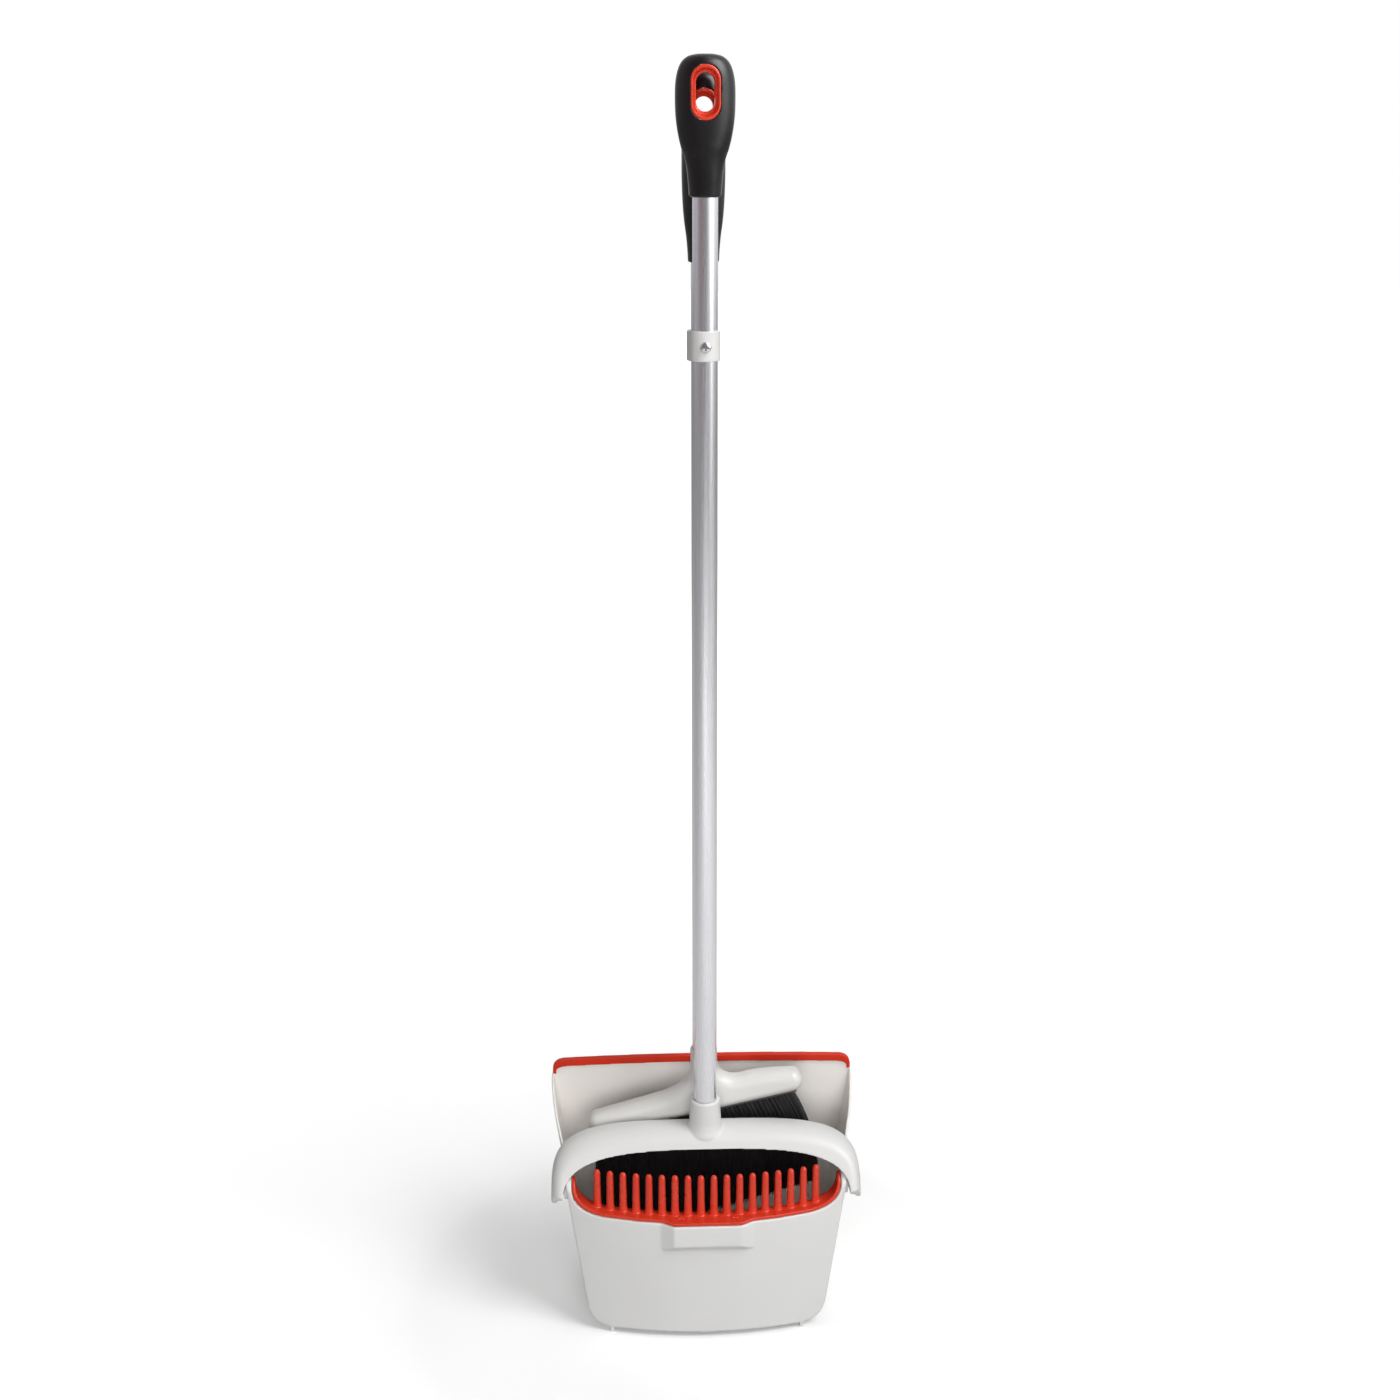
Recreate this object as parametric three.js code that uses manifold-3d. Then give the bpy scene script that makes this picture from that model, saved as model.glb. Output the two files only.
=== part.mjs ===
// Upright dust pan and broom set, stored: the broom hangs in a clip behind the pan's handle.
// Millimetres, +Z up, the front faces -Y. The pan tube's axis is x = 0, y = 0 while the pieces
// are made; at the end the whole set is moved so that its origin is the centre of its footprint.

import * as THREE from 'three';
import { mergeVertices } from 'three/addons/utils/BufferGeometryUtils.js';
import Module from 'manifold-3d';

const wasm = await Module();
wasm.setup();

// ---------------------------------------------------------------- driving dimensions

const clearance = 0.3;          // between pieces that touch or run in each other

// tubes
const tubeDiameter = 19;
const tubeWall = 1;
const tubeSpacing = 30;         // pan tube axis to broom tube axis, front to back

// dust pan
const panBaseHalfWidth = 97.5;  // half width where the outline would meet the ground
const panSideSlope = 0.153;     // how much each side leans out per mm of height
const panFlare = 6;             // each side stands this much further out at the back
const panFlareFrontY = 0;       // where the sides start to flare
const panFlareBackY = 38;       // and where they run straight again
const flareSteps = 10;
const panWall = 2.4;
const panCornerRadius = 19;
const panFrontY = -54;          // front of the hood at its middle
const panFrontRadius = 310;     // the hood bulges forward on this radius
const panBackY = 70.4;
const panBackCorner = 9;
const panelTop = 196.5;         // top of the upright floor panel, under the lip
const panelTopCorner = 20;
const footHeight = 4.5;
const footThickness = 3;
const footX = 80;
const footSetback = 0.3;        // each foot's front behind the hood's front

// hood and its opening
const hoodTop = 110;            // hood edge at the middle
const hoodDip = 2.5;            // the edge is this much lower at the middle than at its ends
const hoodSideWall = 1.5;       // side wall left beside the opening, at the hood's edge
const hoodOpeningHalf = panBaseHalfWidth + panSideSlope * hoodTop - hoodSideWall;
const hoodOpeningTurn = 31;     // each end of the edge turns upright over this width
const hoodOpeningRise = 22;     // and this height
const earRadius = 11.5;         // the side walls' ears around the pivots
const earBackY = 1;             // behind here the side walls rise to the lip
const tabHalfWidth = 39;
const tabFaceHalfWidth = 28;
const tabHeight = 21.4;
const tabDepth = 4.2;
const tabEdge = 0.8;            // the comb's ledge stops this far behind the tab's front

// lip
const lipTop = 201;
const lipCrown = 2;
const lipHeight = 6.2;
const lipCorner = 14;
const lipSkirt = 186;           // the lip's ends reach down to here
const lipEndWidth = 3;
const lipEndInset = 2.4;        // the lip's ends stop this far inside the panel's sides
const lipSide = 1.7;            // rubber on each face of the panel

// comb
const combSeat = 0.5;           // comb above the hood's edge
const combThickness = 2.6;
const combDepth = 15;           // ledge, front to back
const toothPitch = 10.75;
const toothEndRoom = 15;        // from each end of the opening to half a pitch past the last tooth
const toothCount = 2 * Math.floor((hoodOpeningHalf - toothEndRoom) / toothPitch);
const toothBaseRadius = 3.9;
const toothTipRadius = 2.9;
const toothTop = 147;
const stakeDiameter = 8;
const stakeInset = 4;           // centre of each stake behind the hood's front
const stakeHeight = 1.2;
const stakeX = 22.5;

// yoke
const pivotY = -22;
const pivotZ = 124;
const earGap = 2.2;             // between the pan's ears and the arms beside them
const yokeArmInner = panBaseHalfWidth + panSideSlope * (pivotZ + earRadius) + earGap;
const yokeArmThickness = 9.4;
const yokeHalfWidth = yokeArmInner + yokeArmThickness;
const yokeCrownTop = 170.5;
const yokeCrownBottom = 157;
const yokeSpring = 116;         // height at which the arch's curve starts from the arms
const yokeOuterPower = 4;       // squareness of the arch outside
const yokeInnerPower = 3.1;     // and inside
const yokeDepth = 31;
const yokeEdgeRound = 9;
const yokeEndRadius = 10.5;
const yokeArmFoot = 118.6;      // flat bottom of each arm, inside its tip
const yokeTipThickness = 3.8;
const yokeTipSlant = 1.4;       // how much thicker each tip is at its root
const earRoom = 0.8;            // between the pan's ears and the arch over them
const socketTop = 195;
const socketDiameter = 25;
const socketFlare = 3.6;
const socketFloor = 159;

// pivots
const pivotBossDiameter = 15;
const pivotBossGap = 1.3;       // from each boss to the arm beside it
const pivotBossLength = 6.6;
const pivotBossOuter = yokeArmInner - pivotBossGap;
const pivotBossInner = pivotBossOuter - pivotBossLength;
const bushDiameter = 11;
const bushWall = 1.4;
const pivotHeadDiameter = 12.5;
const pivotHeadHeight = 1.8;
const pivotArmDepth = 5.5;      // how far the pivot pin goes into the arm

// clip
const clipBottom = 811;
const clipHeight = 22.5;
const clipDrop = 3.5;           // the spring clip sits this much lower than the collar
const collarWall = 1.6;
const springWall = 3;
const clipMouth = 8;            // half width of the spring clip's opening at the back
const clipWrap = 2;             // the spring clip opens this far behind the tube's axis
const clipWebHalf = 7;
const clipScrewZ = 822;
const screwHeadDiameter = 8.2;
const screwHeadHeight = 2.6;
const screwDiameter = 4;
const recessWidth = 1.3;
const recessLength = 4.6;
const recessDepth = 1.4;
const insertDiameter = 7;
const insertLength = 5;

// pan grip: [height, half width, half depth]
const panGripSections = [
  [930, 11.0, 11.0], [930.8, 12.0, 12.0], [940, 12.7, 12.6], [951, 13.8, 13.2], [958, 15.3, 13.6],
  [964, 17.4, 14.0], [971, 19.2, 14.0], [979, 20.7, 14.0], [988, 21.7, 14.0], [998, 22.0, 14.0],
  [1008, 21.8, 13.8], [1015, 20.9, 13.3], [1021, 19.1, 12.3], [1025.5, 16.3, 10.6],
  [1028.6, 11.8, 7.9], [1030, 5.5, 4.0],
];
const panGripBore = 976;
const panHoleDrop = 26.5;       // the hole's centre below the grip's top
const panHoleWidth = 13.9;
const panHoleHeight = 27;

// broom grip
const broomGripSections = [
  [881, 11.0, 11.0], [881.8, 11.8, 11.8], [890, 12.2, 12.0], [900, 13.1, 12.2], [912, 14.7, 12.4],
  [926, 15.8, 12.6], [945, 16.4, 12.7], [965, 16.4, 12.7], [985, 16.4, 12.7], [1000, 16.2, 12.5],
  [1008, 15.3, 12.0], [1014, 13.2, 10.6], [1017.6, 9.4, 7.8], [1019, 4.6, 4.0],
];
const broomGripBore = 962;
const broomHoleDrop = 30;
const broomHoleWidth = 13.9;
const broomHoleHeight = 23;

const gripTop = (sections) => sections[sections.length - 1][0];
const panHoleZ = gripTop(panGripSections) - panHoleDrop;
const broomHoleZ = gripTop(broomGripSections) - broomHoleDrop;

const ringWall = 4;             // red liner: edge of the opening to edge of the liner, across
const ringExtra = 2;            // more of it above and below
const ringFlare = 2.6;
const plugLength = 36;
const plugFlange = 3;

// broom head
const neckTop = 227;
const neckDiameter = 22.8;
const neckFloor = 190;
const neckFoot = 8;             // the neck's barrel runs this far below its floor, inside the arms
const neckLap = 12;             // and the arms' fillets end this far below its top
const headLeftEnd = [-89, 158.6];
const headRightEnd = [74.5, 196];
const headLeftRadius = 10.3;
const headRightRadius = 10;
const headLeftShoulder = 14;    // arm's top above its axis beside the neck
const headRightShoulder = 15.5;
const headFilletReach = 26;     // from the neck to where the fillet meets the arms
const headFilletRise = 20;
const headHalfDepth = 11;
const blockThickness = 5;
const blockWidth = 14;
const blockLeft = -86;
const blockRight = 79;

// bristles
const bristleRows = 3;
const rowThickness = 4.2;
const rowTipThickness = 7.1;    // rows fan out to this, and move apart as much
const bristleShoulder = [-95, 122]; // the left tufts have spread by here, and hang from it
const bristleTipLeft = [-96, 41];
const bristleTipRight = [102, 100.5];
const bristleSink = 2;          // rows start this far inside the block

const neckScrewDiameter = 3.6;
const neckScrewHead = 7;
const neckScrewHeadHeight = 2.2;
const socketScrewZ = 186;
const neckScrewZ = 212;

const roundSides = 24;
const smallSides = 12;

// ---------------------------------------------------------------- materials

const plastic = (color, roughness) => new THREE.MeshStandardMaterial({ color, roughness, metalness: 0 });
const metal = (color, roughness) => new THREE.MeshStandardMaterial({ color, roughness, metalness: 1 });

const whitePlastic = plastic(0xe6e4e0, 0.42);
const headPlastic = plastic(0xe9e7e2, 0.3);
const greyPlastic = plastic(0x9a9a98, 0.6);
const redPlastic = plastic(0xcf3a22, 0.45);
const redRubber = plastic(0xc8361f, 0.6);
const blackRubber = plastic(0x17171a, 0.7);
const blackBristle = plastic(0x101012, 0.65);
const aluminium = metal(0xc9cacf, 0.34);
const chrome = metal(0xd5d6d8, 0.15);
const zincSteel = metal(0xa8a9aa, 0.35);

// ---------------------------------------------------------------- solids

// A closed geometry as a solid for cutting and joining.
function solid(geometry) {
  geometry.deleteAttribute('normal');
  geometry.deleteAttribute('uv');
  const merged = mergeVertices(geometry, 1e-4);
  const index = merged.index.array;
  const triangles = [];
  for (let i = 0; i < index.length; i += 3) {
    const [a, b, c] = [index[i], index[i + 1], index[i + 2]];
    if (a !== b && b !== c && c !== a) triangles.push(a, b, c);
  }
  return new wasm.Manifold(new wasm.Mesh({
    numProp: 3,
    vertProperties: new Float32Array(merged.attributes.position.array),
    triVerts: new Uint32Array(triangles),
  }));
}

function toGeometry(manifold) {
  const mesh = manifold.getMesh();
  const geometry = new THREE.BufferGeometry();
  geometry.setAttribute('position', new THREE.BufferAttribute(new Float32Array(mesh.vertProperties), 3));
  geometry.setIndex(new THREE.BufferAttribute(new Uint32Array(mesh.triVerts), 1));
  geometry.computeVertexNormals();
  return geometry;
}

const union = (...parts) => parts.reduce((whole, part) => whole.add(part));

// A front view outline, [x, z], carried from yMin to yMax.
function frontGeometry(shape, yMin, yMax, curveSegments = 8, options = {}) {
  const geometry = new THREE.ExtrudeGeometry(shape, {
    depth: yMax - yMin, steps: 1, curveSegments, bevelEnabled: false, ...options,
  });
  geometry.rotateX(Math.PI / 2);
  geometry.translate(0, yMax, 0);
  return geometry;
}

const extrudeFront = (...settings) => solid(frontGeometry(...settings));

// A plan view outline, [x, y], carried from zMin to zMax.
function extrudePlan(shape, zMin, zMax) {
  const geometry = new THREE.ExtrudeGeometry(shape, {
    depth: zMax - zMin, steps: 1, curveSegments: 8, bevelEnabled: false,
  });
  geometry.translate(0, 0, zMin);
  return solid(geometry);
}

// A side view outline, [y, z], carried from xMin to xMax.
function extrudeSide(shape, xMin, xMax) {
  const geometry = new THREE.ExtrudeGeometry(shape, {
    depth: xMax - xMin, steps: 1, curveSegments: 8, bevelEnabled: false,
  });
  const sideways = new THREE.Matrix4().makeBasis(
    new THREE.Vector3(0, 1, 0), new THREE.Vector3(0, 0, 1), new THREE.Vector3(1, 0, 0));
  geometry.applyMatrix4(sideways);
  geometry.translate(xMin, 0, 0);
  return solid(geometry);
}

const polygon = (points) => new THREE.Shape(points.map(([a, b]) => new THREE.Vector2(a, b)));

// A turned solid about the Z axis; the profile runs upwards as [radius, height].
function turned(profile, sides = roundSides) {
  const points = profile.map(([radius, height]) => new THREE.Vector2(radius, height));
  const geometry = new THREE.LatheGeometry(points, sides);
  geometry.rotateX(Math.PI / 2);
  return geometry;
}

const cylinderZ = (radius, zMin, zMax, sides = roundSides) =>
  solid(turned([[0, zMin], [radius, zMin], [radius, zMax], [0, zMax]], sides));

function cylinderX(radius, xMin, xMax, sides = smallSides) {
  const geometry = turned([[0, xMin], [radius, xMin], [radius, xMax], [0, xMax]], sides);
  geometry.rotateY(Math.PI / 2);
  return solid(geometry);
}

function cylinderY(radius, yMin, yMax, sides = smallSides) {
  const geometry = turned([[0, yMin], [radius, yMin], [radius, yMax], [0, yMax]], sides);
  geometry.rotateX(-Math.PI / 2);
  return solid(geometry);
}

function box(xMin, xMax, yMin, yMax, zMin, zMax) {
  const geometry = new THREE.BoxGeometry(xMax - xMin, yMax - yMin, zMax - zMin);
  geometry.translate((xMin + xMax) / 2, (yMin + yMax) / 2, (zMin + zMax) / 2);
  return solid(geometry);
}

// ---------------------------------------------------------------- assembly

const set = new THREE.Group();
set.name = 'dust_pan_and_broom_set';
const handleGroup = new THREE.Group();
const panGroup = new THREE.Group();
const broomGroup = new THREE.Group();
set.add(handleGroup, panGroup, broomGroup);

function addPart(group, name, shape, material) {
  const mesh = new THREE.Mesh(toGeometry(shape), material);
  mesh.name = name;
  group.add(mesh);
}

const tubeBore = tubeDiameter / 2 + clearance;
const overTop = gripTop(panGripSections) + tubeDiameter;

// ---------------------------------------------------------------- dust pan shell

const panHalfWidth = (z) => panBaseHalfWidth + panSideSlope * z;

// A front view outline carried from yMin to yMax, with its sides spread towards the pan's wide back.
function flaredFront(shape, yMin, yMax) {
  const geometry = frontGeometry(shape, yMin, yMax, 8, { steps: flareSteps });
  const position = geometry.attributes.position;
  for (let i = 0; i < position.count; i++) {
    const share = (position.getY(i) - panFlareFrontY) / (panFlareBackY - panFlareFrontY);
    const spread = panFlare * THREE.MathUtils.clamp(share, 0, 1);
    position.setX(i, position.getX(i) * (1 + spread / panHalfWidth(position.getZ(i))));
  }
  return solid(geometry);
}

// Front view of the pan between the bottom and the given top, drawn in from its sides by inset.
function panOutline(inset, top, topCorner) {
  const bottom = footHeight + inset;
  const corner = panCornerRadius - inset;
  const side = (z) => panHalfWidth(z) - inset;
  const shape = new THREE.Shape();
  shape.moveTo(-side(bottom) + corner, bottom);
  shape.lineTo(side(bottom) - corner, bottom);
  shape.quadraticCurveTo(side(bottom), bottom, side(bottom + corner), bottom + corner);
  shape.lineTo(side(top - topCorner), top - topCorner);
  shape.quadraticCurveTo(side(top), top, side(top) - topCorner, top);
  shape.lineTo(-side(top) + topCorner, top);
  shape.quadraticCurveTo(-side(top), top, -side(top - topCorner), top - topCorner);
  shape.lineTo(-side(bottom + corner), bottom + corner);
  shape.quadraticCurveTo(-side(bottom), bottom, -side(bottom) + corner, bottom);
  return shape;
}

const hoodFrontY = (x) => panFrontY + x * x / (2 * panFrontRadius);

// Plan view of a slice of the pan that follows the hood's bulge at its front.
function bulgedPlan(front, back, halfWidth, backCorner = 0.5) {
  const steps = 14;
  const shape = new THREE.Shape();
  for (let i = 0; i <= steps; i++) {
    const x = -halfWidth + 2 * halfWidth * i / steps;
    if (i === 0) shape.moveTo(x, hoodFrontY(x) + front);
    else shape.lineTo(x, hoodFrontY(x) + front);
  }
  shape.lineTo(halfWidth, back - backCorner);
  shape.quadraticCurveTo(halfWidth, back, halfWidth - backCorner, back);
  shape.lineTo(-halfWidth + backCorner, back);
  shape.quadraticCurveTo(-halfWidth, back, -halfWidth, back - backCorner);
  return shape;
}

// The hood edge seen from the front: nearly flat, turned up at both ends, raised by lift.
const hoodEdgeZ = (x) => hoodTop - hoodDip + hoodDip * (x / hoodOpeningHalf) ** 2;

function hoodEdgeOutline(lift, top, grow = 0) {
  const half = hoodOpeningHalf + grow;
  const flat = half - hoodOpeningTurn;
  const steps = 8;
  const shape = new THREE.Shape();
  shape.moveTo(-half, top);
  const left = hoodEdgeZ(flat) + lift;
  shape.lineTo(-half, left + hoodOpeningRise);
  shape.quadraticCurveTo(-half, left, -flat, left);
  for (let i = 1; i <= steps; i++) {
    const x = -flat + 2 * flat * i / steps;
    shape.lineTo(x, hoodEdgeZ(x) + lift);
  }
  shape.quadraticCurveTo(half, left, half, left + hoodOpeningRise);
  shape.lineTo(half, top);
  return shape;
}

const farOut = 400;             // past every face of the part that is cut
const ledgeBack = (depth) => extrudePlan(bulgedPlan(-1, farOut, farOut / 2), 0, farOut)
  .subtract(extrudePlan(bulgedPlan(depth, farOut + 1, farOut / 2 + 1), -1, farOut + 1));

// All that is open above the side walls: the ears around the pivots, then the rise to the lip.
function panMouth() {
  const panelFace = panBackY - panWall;
  const lipFoot = lipSkirt - 2 * clearance;
  const shape = new THREE.Shape();
  shape.moveTo(-farOut, pivotZ);
  shape.lineTo(pivotY - earRadius, pivotZ);
  shape.absarc(pivotY, pivotZ, earRadius, Math.PI, Math.PI / 2, true);
  shape.lineTo(earBackY, pivotZ + earRadius);
  shape.lineTo(panelFace - lipSide - clearance, lipFoot);
  shape.lineTo(panelFace, lipFoot);
  shape.lineTo(panelFace, farOut);
  shape.lineTo(-farOut, farOut);
  return extrudeSide(shape, -farOut, farOut);
}

function makePanShell() {
  const widest = panHalfWidth(panelTop) + panFlare;
  const outer = flaredFront(panOutline(0, panelTop, panelTopCorner), panFrontY - 1, panBackY)
    .intersect(extrudePlan(bulgedPlan(0, panBackY, widest + 1, panBackCorner), 0, panelTop + 1));
  const innerPlan = bulgedPlan(panWall, panBackY - panWall, widest + 1, panBackCorner);
  const inner = flaredFront(panOutline(panWall, panelTop + panCornerRadius, 1), panFrontY - 1, panBackY)
    .intersect(extrudePlan(innerPlan, 0, farOut));
  const scoop = extrudeFront(hoodEdgeOutline(0, farOut), -farOut, earBackY);

  const earTopZ = pivotZ + earRadius;
  const flange = extrudeFront(hoodEdgeOutline(-panWall, earTopZ, panWall), panFrontY - 1, panBackY)
    .subtract(extrudeFront(hoodEdgeOutline(0, farOut), -farOut, farOut))
    .intersect(ledgeBack(combDepth - clearance))
    .intersect(outer)
    .subtract(panMouth());

  const tabPlan = polygon([
    [-tabHalfWidth, panFrontY + panWall + 1.5], [-tabHalfWidth, hoodFrontY(tabHalfWidth)],
    [-tabFaceHalfWidth, panFrontY - tabDepth], [tabFaceHalfWidth, panFrontY - tabDepth],
    [tabHalfWidth, hoodFrontY(tabHalfWidth)], [tabHalfWidth, panFrontY + panWall + 1.5],
  ]);
  const tabBottom = hoodTop - hoodDip - tabHeight;
  const tabSide = polygon([
    [panFrontY + panWall + 1, tabBottom - 2], [panFrontY, tabBottom - 2],
    [panFrontY - tabDepth, tabBottom + 2.5], [panFrontY - tabDepth, hoodTop - hoodDip],
    [panFrontY + panWall + 1, hoodTop - hoodDip],
  ]);
  const tab = extrudePlan(tabPlan, tabBottom - 2, hoodTop - hoodDip)
    .intersect(extrudeSide(tabSide, -tabHalfWidth, tabHalfWidth))
    .subtract(extrudePlan(bulgedPlan(panWall / 2, farOut, farOut / 2), 0, farOut));

  const footFront = hoodFrontY(footX) + footSetback;
  const feet = [-footX, footX].map((x) =>
    box(x - footThickness / 2, x + footThickness / 2, footFront, panBackY - panBackCorner,
      0, footHeight + panWall / 2));
  const bosses = [-1, 1].map((side) => cylinderX(pivotBossDiameter / 2,
    Math.min(side * pivotBossInner, side * pivotBossOuter),
    Math.max(side * pivotBossInner, side * pivotBossOuter)).translate([0, pivotY, pivotZ]));
  const bore = cylinderX(bushDiameter / 2 + clearance, -farOut, farOut).translate([0, pivotY, pivotZ]);
  const headRoom = cylinderX(pivotHeadDiameter / 2 + clearance, -pivotBossInner, pivotBossInner)
    .translate([0, pivotY, pivotZ]);

  return union(outer.subtract(inner).subtract(panMouth()).subtract(scoop), flange, tab, ...feet, ...bosses)
    .subtract(bore)
    .subtract(headRoom);
}

// ---------------------------------------------------------------- lip

function makeLip() {
  const side = (z) => panHalfWidth(z) + panFlare - lipEndInset;
  const outline = new THREE.Shape();
  const shoulder = lipTop - lipCrown;
  outline.moveTo(-side(lipSkirt), lipSkirt);
  outline.lineTo(-side(lipSkirt) + lipEndWidth, lipSkirt);
  outline.quadraticCurveTo(-side(shoulder) + lipEndWidth, shoulder - lipHeight,
    -side(shoulder) + lipCorner + lipEndWidth, shoulder - lipHeight);
  outline.quadraticCurveTo(0, lipTop + lipCrown - lipHeight,
    side(shoulder) - lipCorner - lipEndWidth, shoulder - lipHeight);
  outline.quadraticCurveTo(side(shoulder) - lipEndWidth, shoulder - lipHeight,
    side(lipSkirt) - lipEndWidth, lipSkirt);
  outline.lineTo(side(lipSkirt), lipSkirt);
  outline.quadraticCurveTo(side(shoulder), shoulder, side(shoulder) - lipCorner, shoulder);
  outline.quadraticCurveTo(0, lipTop + lipCrown, -side(shoulder) + lipCorner, shoulder);
  outline.quadraticCurveTo(-side(shoulder), shoulder, -side(lipSkirt), lipSkirt);

  const slot = flaredFront(panOutline(-clearance, panelTop + clearance, panelTopCorner),
    panBackY - panWall - clearance, panBackY + clearance);
  return extrudeFront(outline, panBackY - panWall - lipSide, panBackY + lipSide).subtract(slot);
}

// ---------------------------------------------------------------- comb

function makeComb() {
  const strip = extrudeFront(hoodEdgeOutline(combSeat, pivotZ + earRadius, -combSeat),
    panFrontY - tabDepth, panBackY)
    .subtract(extrudeFront(hoodEdgeOutline(combSeat + combThickness, farOut, -combSeat - combThickness),
      -farOut, farOut));
  const trimmed = strip
    .intersect(ledgeBack(combDepth))
    .intersect(extrudePlan(bulgedPlan(0, farOut, farOut / 2), 0, farOut))
    .subtract(panMouth());
  const ledgeFront = panFrontY - tabDepth + tabEdge;
  const ledgeSide = hoodFrontY(tabHalfWidth) + tabEdge;
  const ledge = extrudePlan(polygon([
    [-tabHalfWidth, panFrontY + combDepth / 2], [-tabHalfWidth, ledgeSide],
    [-tabFaceHalfWidth, ledgeFront], [tabFaceHalfWidth, ledgeFront],
    [tabHalfWidth, ledgeSide], [tabHalfWidth, panFrontY + combDepth / 2],
  ]), hoodTop - hoodDip + combSeat, hoodTop - hoodDip + combSeat + combThickness);

  const teeth = [];
  for (let i = 0; i < toothCount; i++) {
    const x = (i - (toothCount - 1) / 2) * toothPitch;
    const base = hoodEdgeZ(x) + combSeat + combThickness / 2;
    const tooth = solid(turned([
      [0, base], [toothBaseRadius, base], [toothBaseRadius, base + combThickness],
      [toothBaseRadius - 0.5, base + combThickness + 3], [toothTipRadius, toothTop - toothTipRadius],
      [toothTipRadius * 0.72, toothTop - toothTipRadius * 0.32], [0, toothTop],
    ], 8));
    teeth.push(tooth.translate([x, hoodFrontY(x) + combDepth - toothBaseRadius, 0]));
  }
  const roomStart = pivotBossInner - pivotHeadHeight - 2 * clearance;
  const bossRooms = [-1, 1].map((side) => cylinderX(pivotBossDiameter / 2 + 2 * clearance,
    Math.min(side * roomStart, side * farOut),
    Math.max(side * roomStart, side * farOut)).translate([0, pivotY, pivotZ]));
  return union(trimmed, ledge, ...teeth).subtract(union(...bossRooms));
}

function makeStake(x) {
  const seat = hoodEdgeZ(x) + combSeat + combThickness + clearance;
  const radius = stakeDiameter / 2;
  const head = turned([[0, seat], [radius, seat], [radius - 0.4, seat + stakeHeight * 0.7],
    [radius - 1.6, seat + stakeHeight], [0, seat + stakeHeight]], smallSides);
  return solid(head).translate([x, hoodFrontY(x) + stakeInset, 0])
    .subtract(cylinderZ(1.2, seat + stakeHeight / 2, farOut, 8)
      .translate([x, hoodFrontY(x) + stakeInset, 0]));
}

// ---------------------------------------------------------------- yoke

// A squared-off arch over the crown, from the right arm's spring to the left arm's.
function archPoints(halfWidth, top, squareness) {
  const steps = 26;
  const power = 2 / squareness;
  const points = [[halfWidth, yokeSpring]];
  for (let i = 1; i < steps; i++) {
    const angle = Math.PI * i / steps;
    points.push([
      halfWidth * Math.sign(Math.cos(angle)) * Math.abs(Math.cos(angle)) ** power,
      yokeSpring + (top - yokeSpring) * Math.sin(angle) ** power,
    ]);
  }
  points.push([-halfWidth, yokeSpring]);
  return points;
}

const archOutline = (halfWidth, top, squareness, bottom) =>
  polygon([[halfWidth, bottom], ...archPoints(halfWidth, top, squareness), [-halfWidth, bottom]]);

// What the yoke keeps of its arms in front view: flat feet, with a narrow tip outside each.
function armTipOutline(armBottom) {
  const tip = yokeHalfWidth - yokeTipThickness;
  const root = tip - yokeTipSlant;
  const shape = new THREE.Shape();
  shape.moveTo(root, yokeArmFoot);
  shape.lineTo(tip, armBottom);
  shape.lineTo(tip + yokeTipThickness / 2, armBottom);
  shape.quadraticCurveTo(yokeHalfWidth, armBottom, yokeHalfWidth, pivotZ);
  shape.lineTo(yokeHalfWidth, farOut);
  shape.lineTo(-yokeHalfWidth, farOut);
  shape.lineTo(-yokeHalfWidth, pivotZ);
  shape.quadraticCurveTo(-yokeHalfWidth, armBottom, -tip - yokeTipThickness / 2, armBottom);
  shape.lineTo(-tip, armBottom);
  shape.lineTo(-root, yokeArmFoot);
  return shape;
}

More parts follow.
